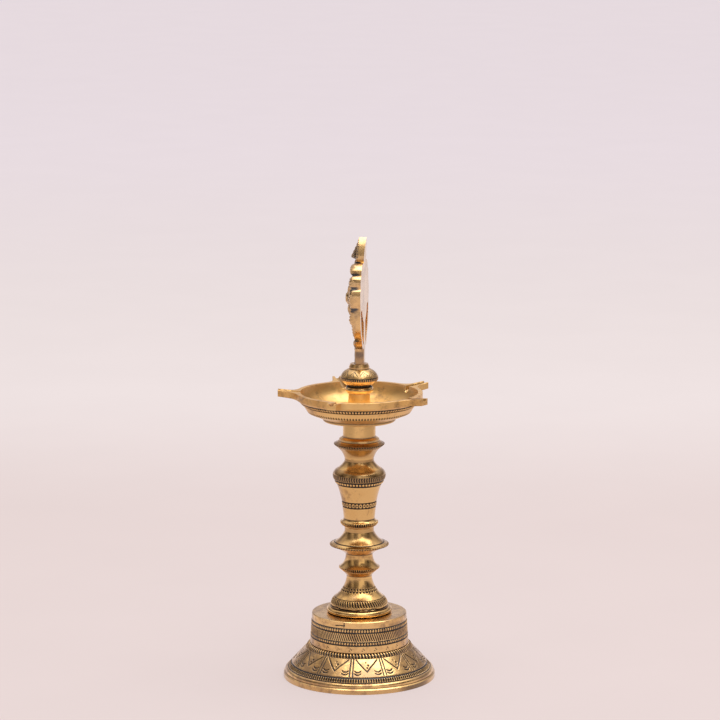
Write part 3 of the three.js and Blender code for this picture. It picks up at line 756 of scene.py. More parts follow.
def nut():
    """A hexagon nut, its corners turned down at both ends, with a threaded hole."""
    low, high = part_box("base_nut")
    height = high.z - low.z
    flats = (high.y - low.y) / 2
    angle = columns_round(NUT_COLUMNS)
    hexagon = flats / np.cos(angle % (pi / 3) - pi / 6)
    cut = thread(STEM_PITCH, -CLEARANCE)
    bands = (band("thread", height, BASE_STUD.radius + CLEARANCE, relief=cut),)
    hole, hole_up, dirt = engraved_rows(stack(bands), bands, angle)
    cone = np.array([flats * NUT_FACE_SHARE, flats, hexagon.max()])
    rise = (cone[-1] - cone) * NUT_CONE_SLOPE
    reaches = [*cone, *cone[::-1]]
    levels = [*(-rise + rise[0]), *(height - rise[0] + rise[::-1])]
    out = np.array([*(np.minimum(hexagon, reach) for reach in reaches), *hole[::-1]])
    up = np.array([*(level + 0 * angle for level in levels), *hole_up[::-1]])
    patina_and_shade = np.zeros(out.shape)
    patina_and_shade[-len(dirt):] = dirt[::-1]
    return grid_piece("nut", revolved(out, up + low.z, angle), patina_and_shade, closed=True)


# Bowl: turned rows below and inside, and between them the rim and its spouts, which follow the
# rim's plan. Every column runs from the bowl's side to its own point of that plan.
def quadratic(start, pull, end, parts):
    t = np.linspace(0, 1, parts + 1)[:, None]
    return (1 - t) ** 2 * np.array(start) + 2 * t * (1 - t) * np.array(pull) + t**2 * np.array(end)


def turn_by(angle):
    """The matrix that turns rows of flat points by an angle."""
    return np.array([[cos(angle), sin(angle)], [-sin(angle), cos(angle)]])


def spout_side():
    """Half of a spout's outline from the middle of its end to the rim, along and across it."""
    tip, neck = (SPOUT.reach, SPOUT.tip), (SPOUT.neck_at, SPOUT.neck)
    root = (RIM.radius * cos(ROOT_ANGLE), SPOUT.root)
    end = np.linspace((SPOUT.reach, 0), tip, SPOUT.end_parts + 1)[:-1]
    straight = np.linspace(tip, neck, SPOUT.side_parts + 1)
    curve = quadratic(neck, (SPOUT.pull_at, SPOUT.pull), root, SPOUT.blend_parts)
    side = np.concatenate([straight, curve[1:]])
    length = lengths_along(side)
    tip_angle = SPOUT.tip / RIM.radius
    side_angles = tip_angle + (ROOT_ANGLE - tip_angle) * length / length[-1]
    return np.concatenate([end, side]), np.append(end[:, 1] / RIM.radius, side_angles)


def rim_plan():
    """The rim's outline, and the angle at which each of its points meets the turned bowl."""
    half, half_angles = spout_side()
    between = np.linspace(ROOT_ANGLE, TAU / SPOUT.count - ROOT_ANGLE, RIM.arc_parts + 1)[1:-1]
    one = np.concatenate([half[:0:-1] * (1, -1), half, RIM.radius * around(between)])
    angles = np.concatenate([-half_angles[:0:-1], half_angles, between])
    axes = [k * TAU / SPOUT.count - pi / 2 for k in range(SPOUT.count)]
    plan = [one @ turn_by(axis) for axis in axes]
    return np.concatenate(plan), np.concatenate([angles + axis for axis in axes])


def climbing(points):
    """The points raised along the spouts, which climb from the rim to their tips."""
    past = np.hypot(points[..., 0], points[..., 1]) - RIM.radius
    raised = points.copy()
    raised[..., 2] += SPOUT.climb * np.clip(past, 0, None) / (SPOUT.reach - RIM.radius)
    return raised


def channelled(points, rim_top):
    """The points lowered where a wick channel runs, and how deep they lie in it."""
    x, y, z = points[..., 0], points[..., 1], points[..., 2]
    axis = np.round((np.arctan2(y, x) + pi / 2) * SPOUT.count / TAU) * TAU / SPOUT.count - pi / 2
    along = x * np.cos(axis) + y * np.sin(axis)
    across = np.abs(y * np.cos(axis) - x * np.sin(axis))
    run = (along - CHANNEL.start) / (SPOUT.reach - CHANNEL.start)
    depth = CHANNEL.depth_at_start + (CHANNEL.depth_at_tip - CHANNEL.depth_at_start - SPOUT.climb) * run
    half = CHANNEL.half_width
    floor = rim_top - depth + half - np.sqrt(np.clip(half**2 - across**2, 0, None))
    inside = 1 - smooth(half - CHANNEL.ease_inside, half + CHANNEL.ease_outside, across)
    drop = np.clip(z - floor, 0, None) * inside * (along > CHANNEL.start)
    lowered = points.copy()
    lowered[..., 2] = z - drop
    return lowered, smooth(0, CHANNEL.depth_at_tip, drop)


def dish_outline(inner, rim_top):
    """The inside of the bowl: down from its rim, up its post and into the stud's hole."""
    hole, post_top = BOWL_STUD.radius + CLEARANCE, rim_top - DISH.post_below_rim
    floor, full = (DISH.floor, DISH.floor_up), (DISH.full, rim_top - DISH.side_depth)
    side = quadratic(floor, full, (inner, rim_top), DISH.side_parts)
    foot = quadratic(*DISH.post_foot, DISH.foot_parts)
    post = (DISH.post_radius, post_top), (hole, post_top), (hole, DISH.post_low)
    return rounded(spaced(plain(*side[::-1], *foot, *post), DISH.row_step))


def rim_rows(plan, angle, inner, bottom, top):
    """Rows of points from the bowl's turned side out to the rim's plan, up it and over its top."""
    ahead = np.roll(plan, -1, axis=0) - np.roll(plan, 1, axis=0)
    outward = np.stack([ahead[:, 1], -ahead[:, 0]], axis=-1) / np.hypot(*ahead.T)[:, None]
    eased = plan - outward * EDGE_ROUNDING
    side_edge = around(angle) * BOWL[-1].high
    inner_edge = around(angle) * (inner + EDGE_ROUNDING)
    wall = RIM.height - 2 * EDGE_ROUNDING
    rows = [(side_edge + (eased - side_edge) * t, bottom) for t in RIM.under_shares]
    rows += [(plan, bottom + EDGE_ROUNDING + share * wall) for share in RIM.wall_shares]
    rows += [(eased + (inner_edge - eased) * t, top) for t in np.linspace(0, 1, RIM.top_rows)]
    return np.array([np.column_stack([place, np.full(len(place), up)]) for place, up in rows])


def oil_bowl():
    bottom = total(BOWL)
    top = bottom + RIM.height
    inner = RIM.radius - RIM.width
    hole = BOWL_STUD.radius + CLEARANCE
    plan, angle = rim_plan()
    under = rounded(plain((hole, DISH.post_low), (hole, 0)) + stack(BOWL))
    under_out, under_up, under_dirt = engraved_rows(under, BOWL, angle)
    over_out, over_up, over_dirt = engraved_rows(dish_outline(inner, top), (), angle)
    rim = climbing(rim_rows(plan, angle, inner, bottom, top))
    upper = np.concatenate([rim, revolved(over_out, over_up, angle)])
    upper, channel = channelled(upper, top)
    dirt = np.zeros(upper.shape[:2])
    dirt[-len(over_dirt):] = over_dirt
    dirt = np.maximum(dirt, CHANNEL.patina_share * channel)
    points = np.concatenate([revolved(under_out, under_up, angle), upper])
    points[..., 2] += foot_of("oil_bowl")
    return grid_piece("bowl", points, np.concatenate([under_dirt, dirt]), closed=True)


# Finial: a flat plaque with an openwork plan, its relief raised on the face that looks to -Y.
# Points of its plan are (across, up) from the middle of the plate.
def edge_point(angle, inset):
    upper = sin(angle) > 0
    power = 2 / (PLATE.squareness if upper else 2)
    reach = PLATE.upper if upper else PLATE.lower
    across, up = (np.sign(v) * abs(v) ** power for v in (cos(angle), sin(angle)))
    return np.array([(PLATE.half_width - inset) * across, (reach - inset) * up])


def lobe(i):
    """The two notches of a lobe, its tip, and the pull of the curve between them."""
    ends = [*LOBE_EDGES, LOBE_EDGES[0] + TAU][i : i + 2]
    start, end = (edge_point(angle, PLATE.notch) for angle in ends)
    tip = edge_point(sum(ends) / 2, 0)
    return start, end, tip, 2 * tip - (start + end) / 2


def plate_loop():
    lobes = [lobe(i) for i in range(len(LOBE_EDGES))]
    return np.concatenate([quadratic(start, pull, end, LOBE_PARTS)[:-1] for start, end, _, pull in lobes])


def opening_loop(side):
    """The opening on one side, between the outer ring, the rosette's hub and the stalk."""
    across, down = PLATE.half_width - OPENING.side_band, PLATE.lower - OPENING.bottom_band
    inner = STALK.half_width + OPENING.beside_stalk
    drop = OPENING.top_drop + ROSETTE.rise
    outer_ends = -np.arccos(inner / across), -np.arcsin(OPENING.top_drop / down)
    hub_ends = -np.arcsin(drop / OPENING.hub), -np.arccos(inner / OPENING.hub)
    outer = around(np.linspace(*outer_ends, OPENING.parts)) * (across, down)
    hub = around(np.linspace(*hub_ends, OPENING.parts)) * OPENING.hub + (0, ROSETTE.rise)
    straight = np.linspace(hub[-1], outer[0], OPENING.parts)[1:-1]
    return np.concatenate([outer, hub, straight]) * (side, 1)


def leaf_loop():
    half = quadratic((LEAF.foot, 0), (LEAF.pull, LEAF.pull_up), (0, LEAF.height), LOBE_PARTS * 2)
    return np.concatenate([half, half[-2::-1] * (-1, 1)]) + (0, LEAF_BOTTOM)


def stalk_loop():
    right = np.linspace((STALK.half_width, STALK_BOTTOM), (STALK.half_width, 0), STALK.parts)
    return np.concatenate([right, right[::-1] * (-1, 1)])


def within(loop, points):
    """Which points lie inside a closed loop."""
    x, y = points[:, :1], points[:, 1:]
    (x0, y0), (x1, y1) = loop.T, np.roll(loop, -1, axis=0).T
    with np.errstate(divide="ignore", invalid="ignore"):
        crossed = ((y0 > y) != (y1 > y)) & (x < (x1 - x0) * (y - y0) / (y1 - y0) + x0)
    return crossed.sum(1) % 2 == 1


def plaque_plan():
    """Points of the plan and its triangles, which leave the two openings out."""
    plate, leaf, stalk = plate_loop(), leaf_loop(), stalk_loop()
    openings = [opening_loop(side) for side in (1, -1)]
    across = np.arange(-PLATE.half_width, PLATE.half_width, PLAQUE_STEP)
    up = np.arange(STALK_BOTTOM + PLAQUE_STEP / 2, LEAF_BOTTOM + LEAF.height, PLAQUE_STEP)
    grid = np.stack(np.meshgrid(across, up), axis=-1).reshape(-1, 2)

    def solid(points):
        cut = within(openings[0], points) | within(openings[1], points)
        return (within(plate, points) & ~cut) | within(leaf, points) | within(stalk, points)

    grid = grid[solid(grid)]
    loops = [plate, leaf, stalk, *openings]
    edges, count = [], 0
    for loop in loops:
        index = count + np.arange(len(loop))
        edges += np.stack([index, np.roll(index, -1)], axis=-1).tolist()
        count += len(loop)
    points = np.concatenate([*loops, grid])
    made = geometry.delaunay_2d_cdt((points * PLAN_SCALE).tolist(), edges, [], 0, PLAN_WELD)
    points = np.array([tuple(p) for p in made[0]]) / PLAN_SCALE
    triangles = np.array(made[2])
    return points, triangles[solid(points[triangles].mean(1))]


def egg(points, middle, half_sizes, rise, heading):
    """Height of an egg shape whose second half size lies along the heading."""
    away = points - middle
    along = away @ (cos(heading), sin(heading))
    across = away @ (-sin(heading), cos(heading))
    inside = 1 - (across / half_sizes[0]) ** 2 - (along / half_sizes[1]) ** 2
    return rise * np.sqrt(np.clip(inside, 0, 1)), across, along


def pearls(points, middles):
    away = np.linalg.norm(points[:, None] - middles[None], axis=-1).min(1)
    return PEARL.size * np.sqrt(np.clip(1 - (away / PEARL.size) ** 2, 0, 1))


def petal_relief(points, petals, heading):
    """One petal of the rosette, with a vein along its middle and slanting ribs beside it."""
    middle = (petals.reach + petals.root) / 2
    place = np.array([middle * cos(heading), ROSETTE.rise + middle * sin(heading)])
    half = (petals.half_width, (petals.reach - petals.root) / 2)
    height, across, along = egg(points, place, half, petals.rise, heading)
    vein = 1 - smooth(*PETAL_VEIN, np.abs(across))
    ribs = np.cos((np.abs(across) + along) * TAU / ROSETTE.rib_pitch)
    ribbed = height > petals.rise * ROSETTE.ribs_from_share
    return height * (1 - ROSETTE.vein_share * vein) + ROSETTE.rib_height * ribs * ribbed


def rosette_relief(points):
    height = np.zeros(len(points))
    for petals in (ROSETTE.under_petals, ROSETTE.petals):
        for k in range(petals.count):
            heading = (k + petals.shift) * TAU / petals.count
            height = np.maximum(height, petal_relief(points, petals, heading))
    away = np.hypot(points[:, 0], points[:, 1] - ROSETTE.rise)
    power, flatness = ROSETTE.boss_powers
    boss = ROSETTE.boss_rise * np.clip(1 - (away / ROSETTE.boss_radius) ** power, 0, 1) ** flatness
    line = 1 - smooth(*BOSS_LINE, np.abs(away - ROSETTE.boss_radius * ROSETTE.line_share))
    return np.maximum(height, boss - ROSETTE.boss_groove * line * (boss > 0))


def pearl_circle(radius):
    """Middles of the pearls on a circle round the rosette."""
    turn = np.linspace(0, TAU, round(TAU * radius / PEARL.pitch), endpoint=False)
    return around(turn) * radius + (0, ROSETTE.rise)


def edge_pearls():
    """Middles of the pearls that run along the lower half of the rim, evenly spaced."""
    turns = np.linspace(PEARL.from_turn, PEARL.to_turn, PEARL.turn_parts)
    right = np.array([edge_point(turn, PEARL.inset) for turn in turns])
    length = lengths_along(right)
    even = np.arange(0, length[-1], PEARL.pitch)
    right = np.stack([np.interp(even, length, axis) for axis in right.T], axis=-1)
    return np.concatenate([right, right * (-1, 1)])


def lobe_relief(points):
    """A fluted mound on every lobe but the top one, where the leaf stands, and the lowest."""
    height = np.zeros(len(points))
    top = len(LOBE_EDGES) // 2 - 1
    for i in range(len(LOBE_EDGES) - 1):
        if i == top:
            continue
        start, end, tip, _ = lobe(i)
        chord = end - start
        middle = tip * (1 - GADROON.inset / np.hypot(*tip))
        half = (GADROON.half_height, np.hypot(*chord) * GADROON.length_share)
        swell, _, along = egg(points, middle, half, GADROON.swell, np.arctan2(chord[1], chord[0]))
        flutes = np.cos(along * TAU / GADROON.flute_pitch)
        height = np.maximum(height, swell * (1 + GADROON.flute_share * flutes))
    return height


def plate_face(points):
    """How far before the axis the plate's face is: its lower ring is thinner."""
    share = smooth(PLATE.slope_bottom, PLATE.slope_top, points[:, 1])
    return PLATE.ring_front + (PLATE.front - PLATE.ring_front) * share


def leaf_veins(points):
    """Slanting veins on both sides of the leaf's middle, from -1 in a cut to 1 on a ridge."""
    return np.cos((points[:, 1] * LEAF.vein_slant - np.abs(points[:, 0])) * TAU / LEAF.vein_pitch)


def leaf_face(points):
    """The leaf's own face, with a veined bud that is full at its foot and thins to the tip."""
    up = points[:, 1] - LEAF_BOTTOM
    across = np.abs(points[:, 0])
    taper = 1 - (1 - BUD.tip_share) * (up - BUD.full) / (LEAF.height - BUD.full)
    swell = np.sqrt(np.clip(1 - ((up - BUD.full) / (BUD.foot - BUD.full)) ** 2, 0, 1))
    wide = np.where(up < BUD.full, swell, taper)
    half = np.maximum(BUD.half_width * wide, SAME_PLACE)
    round_share = np.sqrt(np.clip(1 - (across / half) ** 2, 0, 1))
    veins = leaf_veins(points) * LEAF.vein_height
    bud = (BUD.front * wide + veins) * round_share
    blade = LEAF.thickness - PLATE.back + veins * (up > BUD.foot)
    return np.where(up > 0, np.maximum(bud, blade), 0)


def leaning(up):
    """How far back the leaf leans at each height."""
    return LEAF.lean * np.clip((up - LEAF_BOTTOM) / LEAF.height, 0, None)


def stalk_face(points):
    """The scaled and rounded face of the stalk, up to the rosette's hub."""
    across, up = np.abs(points[:, 0]), points[:, 1]
    top = ROSETTE.rise - OPENING.hub + STALK.behind_hub
    below = (across < STALK.half_width * STALK.edge_share) & (up < top)
    scales = ((up + across * STALK.scale_slant) / STALK.scale_pitch) % 1
    crown = np.sqrt(np.clip(1 - (across / (STALK.half_width * STALK.crown_share)) ** 2, 0, 1))
    rise = (1 - STALK.crown_rise_share * (1 - crown)) * (1 - STALK.scale_rise_share * (1 - scales))
    return np.where(below, STALK.half_depth * rise, 0)


def edge_distance(points, outline):
    """How far points of the plan are from its outline, whose segments are given."""
    start, run = outline[:, 0], outline[:, 1] - outline[:, 0]
    nearest = np.full(len(points), np.inf)
    for first, way in zip(start, run):
        along = np.clip((points - first) @ way / max(way @ way, TINY), 0, 1)
        nearest = np.minimum(nearest, np.hypot(*(points - first - along[:, None] * way).T))
    return nearest


def border_of(triangles):
    """The edges that belong to a single triangle, in its own direction."""
    directed = np.concatenate([triangles[:, [0, 1]], triangles[:, [1, 2]], triangles[:, [2, 0]]]).tolist()
    known = {tuple(edge) for edge in directed}
    return np.array([edge for edge in directed if (edge[1], edge[0]) not in known])


def plaque_face(plan, on_plate, from_edge):
    """How far before the axis the face is at each point, with all its relief."""
    radii = ROSETTE.pearl_radius, ROSETTE.boss_radius * ROSETTE.boss_pearls_share
    circles = [pearl_circle(radius) for radius in radii]
    relief = np.maximum(rosette_relief(plan), lobe_relief(plan))
    relief = np.maximum(relief, pearls(plan, np.concatenate([edge_pearls(), *circles])))
    face = np.maximum.reduce([(plate_face(plan) + relief) * on_plate, leaf_face(plan), stalk_face(plan)])
    return face - PLAQUE_EDGE * (1 - smooth(0, PLAQUE_EDGE_REACH, from_edge))


def face_dirt(plan, raised, from_edge, notched):
    """Old dirt on the face: between the relief, in the notches and in the leaf's veins."""
    beside = PLAQUE_DIRT.relief_share * (1 - smooth(*RELIEF_DIRT, raised))
    sunk = np.where(raised > SAME_PLACE, beside, PLAQUE_DIRT.ground_share)
    sunk = sunk * smooth(*CLEAN_EDGE, from_edge)
    sunk = np.where(plan[:, 1] < -PLATE.lower, PLAQUE_DIRT.stalk_share, sunk)
    on_leaf = plan[:, 1] > LEAF_BOTTOM + BUD.foot
    veined = on_leaf * (1 - smooth(*VEIN_DIRT, leaf_veins(plan)))
    worst = np.maximum.reduce([sunk, notched, veined])
    return np.clip(worst, PLAQUE_DIRT.least_share, PLAQUE_DIRT.most_share)


def wall_dirt(up, notched, share):
    """Old dirt on the plaque's narrow sides, at a share of the way from its face to its back."""
    away = np.abs(-PLATE.lower - up - STALK.stain_at)
    stained = 1 - smooth(0, STALK.stain_half, away)
    stalk = PLAQUE_DIRT.stalk_side_share + PLAQUE_DIRT.stain_share * stained
    wall = np.where(up < -PLATE.lower, stalk, PLAQUE_DIRT.wall_share * (1 - share) ** 4)
    return np.maximum(wall, notched * (1 - share))


def plaque():
    plan, triangles = plaque_plan()
    count, border = len(plan), border_of(triangles)
    edge = np.unique(border)
    on_plate, from_edge = within(plate_loop(), plan), edge_distance(plan, plan[border])
    face = plaque_face(plan, on_plate, from_edge)
    raised = face - np.where(on_plate, plate_face(plan), PLATE.ring_front)
    notches = np.array([lobe(i)[0] for i in range(len(LOBE_EDGES))])
    from_notch = np.linalg.norm(plan[:, None] - notches[None], axis=-1).min(1)
    notched = 1 - smooth(*NOTCH_DIRT, from_notch)

    def laid(points, depth):
        return np.column_stack([points[:, 0], depth + 0 * points[:, 0], points[:, 1]])

    layers = [laid(plan, -face), laid(plan, PLATE.back)]
    dirt = [face_dirt(plan, raised, from_edge, notched), np.full(count, PLAQUE_DIRT.back_share)]
    place = np.zeros(count, int)
    place[edge] = np.arange(len(edge))
    rims = [border]
    for number, share in enumerate(WALL_SHARES):
        layers.append(laid(plan[edge], -face[edge] * (1 - share) + PLATE.back * share))
        dirt.append(wall_dirt(plan[edge, 1], notched[edge], share))
        rims.append(place[border] + 2 * count + number * len(edge))
    rims.append(border + count)
    quads = [np.column_stack([a[:, 0], b[:, 0], b[:, 1], a[:, 1]]) for a, b in zip(rims, rims[1:])]
    points = np.concatenate(layers)
    points[:, 1] += leaning(points[:, 2])
    points[:, 2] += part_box("finial_knob")[1].z + STALK.foot + PLATE.lower
    points[:, :2] = points[:, :2] @ turn_by(FINIAL_TURN)
    loops = np.concatenate([triangles.ravel(), (triangles[:, ::-1] + count).ravel(), np.ravel(quads)])
    flat = 2 * len(triangles)
    starts = np.append(np.arange(flat) * 3, 3 * flat + np.arange(len(quads) * len(border)) * 4)
    return mesh_piece("plaque", points, loops, starts, np.concatenate(dirt))


def peg():
    length, narrow = PEG.engagement + STALK.foot / 3, PEG.radius - STUD_CHAMFER
    outline = plain(
        (CAP_RADIUS, 0), (narrow, 0), (PEG.radius, STUD_CHAMFER), (PEG.radius, length), (CAP_RADIUS, length)
    )
    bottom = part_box("finial_knob")[1].z - PEG.engagement
    return turned("peg", outline, SCREW_COLUMNS, bottom=bottom)


# Materials. A noise is its scale, its detail and its roughness.
PATCHES = (38.0, 4.0)
SPOTS = (240.0, 4.0, 0.6)
GRAIN = (900.0, 5.0, 0.65)
TOOL_MARKS = (2600.0, 2.0)
MOTTLE = (9.0, 4.0)
PIT_SCALE = 420.0
LATHE_WANDER = 0.02
FILE_STRETCH = (1.0, 1.0, 0.15)
PATINA_AND_SHADE_BREAK = 0.3
TARNISH_SHARE = 0.75
BUMP_STRENGTH = 0.35
BUMP_DISTANCE = 0.00006
# Near-black brown of old patina, also used for painted shade
PATINA_AND_SHADE_COLOUR = (0.02, 0.013, 0.008, 1)
TARNISH = (0.30, 0.17, 0.07, 1)
BRIGHT = (0.86, 0.55, 0.20, 1)
WARM = (0.78, 0.45, 0.135, 1)
LACQUER_IOR = 1.9
LACQUER_ROUGHNESS = 0.22
# Ranges of noise, and of the darkness of a recess, over which each look sets in
PATINA_AND_SHADE_SHARES = (0.2, 0.65)
TARNISH_SHARES = (0.56, 0.78)
RECESS_TARNISH_AND_SHADE_SHARES = (0.02, 0.4)
WARM_SHARES = (0.35, 0.68)
PIT_SHARES = (0.16, 0.05)
PITTED_SHARES = (0.52, 0.62)
ROUGH_SHARES = (0.4, 0.8)
CLOUD_SHARE = 0.6
PIT_DARK_SHARE = 0.8
WORN_ROUGHNESS = 0.16
DIRT_ROUGHNESS = 0.34
BUMP_SHARES = Sizes(marks=0.5, grain=0.9, spots=2.0, pits=1.5)


def node(tree, kind, inputs={}, **settings):
    """A node with its settings and inputs, which are values or other nodes' outputs."""
    made = tree.nodes.new(kind)
    for key, value in settings.items():
        setattr(made, key, value)
    for key, value in inputs.items():
        if isinstance(value, bpy.types.NodeSocket):
            tree.links.new(value, made.inputs[key])
        else:
            made.inputs[key].default_value = value
    return made


def math(tree, operation, *values, clamp=False):
    inputs = dict(enumerate(values))
    return node(tree, "ShaderNodeMath", inputs, operation=operation, use_clamp=clamp).outputs[0]


def noise(tree, vector, scale, detail, roughness=0.55):
    inputs = {"Vector": vector, "Scale": scale, "Detail": detail, "Roughness": roughness}
    return node(tree, "ShaderNodeTexNoise", inputs).outputs["Fac"]


def ranged(tree, value, low, high, to_low=0.0, to_high=1.0):
    inputs = {"Value": value, "From Min": low, "From Max": high, "To Min": to_low, "To Max": to_high}
    return node(tree, "ShaderNodeMapRange", inputs, interpolation_type="SMOOTHSTEP").outputs[0]


def blend(tree, share, first, second):
    """A mix of two colours, each a value or a node's output."""
    return node(tree, "ShaderNodeMix", {0: share, 6: first, 7: second}, data_type="RGBA").outputs[2]


def material(name):
    made = bpy.data.materials.new(name)
    made.use_nodes = True
    made.node_tree.nodes.clear()
    return made, made.node_tree


def tool_marks(tree, place, turned_marks):
    """Fine marks of the lathe round the axis, or of a file."""
    if not turned_marks:
        stretched = node(tree, "ShaderNodeMapping", {"Vector": place, "Scale": FILE_STRETCH})
        return noise(tree, stretched.outputs[0], *TOOL_MARKS)
    x, y, z = node(tree, "ShaderNodeSeparateXYZ", {"Vector": place}).outputs
    squares = math(tree, "ADD", math(tree, "MULTIPLY", x, x), math(tree, "MULTIPLY", y, y))
    inputs = {"X": math(tree, "SQRT", squares), "Y": math(tree, "MULTIPLY", x, LATHE_WANDER), "Z": z}
    return noise(tree, node(tree, "ShaderNodeCombineXYZ", inputs).outputs[0], *TOOL_MARKS)


def brass(name, polish, lacquer, worn=0.0, bright=BRIGHT, warm=WARM, turned_marks=True):
    """Polished brass, tarnished in patches, and dark with old patina and painted shade in its recesses and
    shaded bands.
    """
    made, tree = material(name)
    place = node(tree, "ShaderNodeTexCoord").outputs["Object"]
    patches = noise(tree, place, *PATCHES)
    spots = noise(tree, place, *SPOTS)
    grain = noise(tree, place, *GRAIN)
    # The mesh's darkness: patina, dark engraving and painted shade
    patina_and_shade_attribute = node(tree, "ShaderNodeAttribute", attribute_name="patina_and_shade").outputs["Fac"]
    broken = math(tree, "MULTIPLY_ADD", grain, PATINA_AND_SHADE_BREAK, -PATINA_AND_SHADE_BREAK / 2)
    patina_and_shade = ranged(tree, math(tree, "ADD", patina_and_shade_attribute, broken), *PATINA_AND_SHADE_SHARES)
    clouds = math(tree, "MULTIPLY", math(tree, "ADD", spots, patches), CLOUD_SHARE)
    tarnish_and_shade = ranged(tree, clouds, *(share - worn for share in TARNISH_SHARES))
    metal = blend(tree, ranged(tree, patches, *WARM_SHARES), bright, warm)
    tarnish_and_shade = math(tree, "MAXIMUM", tarnish_and_shade, ranged(tree, patina_and_shade_attribute, *RECESS_TARNISH_AND_SHADE_SHARES))
    metal = blend(tree, math(tree, "MULTIPLY", tarnish_and_shade, TARNISH_SHARE), metal, TARNISH)
    pits = node(tree, "ShaderNodeTexVoronoi", {"Vector": place, "Scale": PIT_SCALE}).outputs["Distance"]
    pits, pitted = ranged(tree, pits, *PIT_SHARES), ranged(tree, patches, *PITTED_SHARES)
    pitted = math(tree, "MULTIPLY", pits, pitted)
    dark_share = math(tree, "MAXIMUM", patina_and_shade, math(tree, "MULTIPLY", pitted, PIT_DARK_SHARE))
    rough = ranged(tree, clouds, *ROUGH_SHARES, polish, polish + WORN_ROUGHNESS)
    rough = math(tree, "MULTIPLY_ADD", dark_share, DIRT_ROUGHNESS, rough, clamp=True)
    height = math(tree, "MULTIPLY", tool_marks(tree, place, turned_marks), BUMP_SHARES.marks)
    height = math(tree, "MULTIPLY_ADD", grain, BUMP_SHARES.grain, height)
    height = math(tree, "MULTIPLY_ADD", spots, BUMP_SHARES.spots, height)
    height = math(tree, "MULTIPLY_ADD", pitted, -BUMP_SHARES.pits, height)
    bump = {"Strength": BUMP_STRENGTH, "Distance": BUMP_DISTANCE, "Height": height}
    inputs = {
        "Base Color": blend(tree, dark_share, metal, PATINA_AND_SHADE_COLOUR),
        "Metallic": 1.0,
        "Roughness": rough,
        "Normal": node(tree, "ShaderNodeBump", bump).outputs[0],
        "Coat Weight": lacquer,
        "Coat IOR": LACQUER_IOR,
        "Coat Roughness": LACQUER_ROUGHNESS,
    }
    shader = node(tree, "ShaderNodeBsdfPrincipled", inputs)
    node(tree, "ShaderNodeOutputMaterial", {"Surface": shader.outputs[0]})
    return made


base_brass = brass("base_brass", 0.2, 0.6, worn=0.05)
stem_brass = brass("stem_brass", 0.14, 0.3, worn=0.02)
bowl_brass = brass("bowl_brass", 0.38, 0.3, worn=-0.03)
knob_brass = brass("knob_brass", 0.22, 0.6, worn=0.03)
finial_brass = brass("finial_brass", 0.2, 1.0, turned_marks=False)
dull_brass = brass("dull_brass", 0.38, 0.2, worn=0.2, bright=WARM, warm=TARNISH)

dress(base_bell(), "base_bell", "base", base_brass)
dress(washer(), "base_washer", "base", dull_brass)
dress(nut(), "base_nut", "base", dull_brass)
dress(screw("base_stud", BASE_STUD, STEM_PITCH), "base_stud", "base", dull_brass)
dress(lower_stem(), "stem_lower", "base", stem_brass)
dress(screw("stem_stud", STEM_STUD, STEM_PITCH), "stem_stud", "stem_joint", dull_brass)
dress(upper_stem(), "stem_upper", "stem", stem_brass)
dress(screw("bowl_stud", BOWL_STUD, BOWL_PITCH), "bowl_stud", "stem", dull_brass)
dress(oil_bowl(), "oil_bowl", "bowl", bowl_brass)
dress(loose_ring(), "spacer_ring", "ring", stem_brass)
dress(knob(), "finial_knob", "finial", knob_brass)
dress(plaque(), "finial_plaque", "finial", finial_brass)
pin = peg()
pin.data.materials.append(dull_brass)
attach(pin, "finial")


# Studio. The camera stands at +X, so the floor's far parts lie towards -X.
FLOOR_RADIUS = 30.0
FLOOR_CORNERS = 96
FLOOR_NEAR = (0.78, 0.675, 0.67, 1)
FLOOR_MIDDLE = (0.865, 0.785, 0.79, 1)
FLOOR_FAR = (0.895, 0.81, 0.86, 1)
FLOOR_PALER = (-0.45, -1.1)  # from where to where along X
FLOOR_PALEST = (-1.2, -3.5)
MOTTLE_FROM = (0.3, 0.7)
MOTTLE_SHARES = (0.995, 1.005)
SHOWN_SHARE = 0.65  # how much of the floor's look is its own colour and not the light on it
SIDE_SHADE = 0.3  # how much darker the floor is beyond the picture's sides, as the lamp mirrors it
SIDES_FROM = (0.3, 0.7)
SIDES_BEHIND = (-0.8, -0.3)
SIDES_BEFORE = (1.3, 0.8)
FRONT_SHADE = 0.05
FRONT_FROM = (0.3, 0.9)
SOFTBOX = Sizes(place=(0.15, 0.3, 2.0), aim=(0, 0, 0.15), side=1.8, power=26, colour=(1.0, 0.98, 0.95))

# The room as the lamp mirrors it. A patch is its middle and half its width round the axis
# from the camera, towards the right, then its lower and upper edge, all in degrees.
ROOM = (0.24, 0.21, 0.20, 1)
BACKDROP = (0.58, 0.52, 0.52, 1)
BACKDROP_FROM = (-0.75, -0.98)
SIDE_GLOW = (0.66, 0.60, 0.57, 1)
SIDE_GLOW_BEHIND = (-0.1, -0.35)
SIDE_GLOW_FROM = (radians(18), radians(32))
OVERHEAD = (1.1, 1.03, 0.98, 1)
OVERHEAD_TILT = radians(-14)
OVERHEAD_EDGE = (cos(radians(46)), cos(radians(30)))
LIT = (1.0, 0.91, 0.84, 1)
FAINTLY_LIT = (0.55, 0.49, 0.45, 1)
UNLIT = (0.04, 0.03, 0.03, 1)
DIM = (0.12, 0.1, 0.09, 1)
PATCH_SOFT = radians(4)
HORIZON = (radians(8.5), radians(6.5))  # below this the room is as pale as the floor
ROOM_PATCHES = (
    ((22, 24, -20, 34), LIT),
    ((3, 10, 32, 58), LIT),
    ((-55, 8, -20, 60), FAINTLY_LIT),
    ((-37, 6, -20, 60), DIM),
    ((-86, 12, -10, 30), UNLIT),
    ((-86, 8, 30, 58), DIM),
    ((78, 10, -10, 30), UNLIT),
    ((78, 7, 30, 60), DIM),
)
CAMERA = Sizes(
    distance=2.243, height=0.6151, turn=radians(1.7), pitch=radians(9.97), lens=167.5, sensor=36,
    shift_share=0.00104,
)


def placed(name, data):
    """An object of the scene's own, which no body carries."""
    made = bpy.data.objects.new(name, data)
    bpy.context.scene.collection.objects.link(made)
    return made


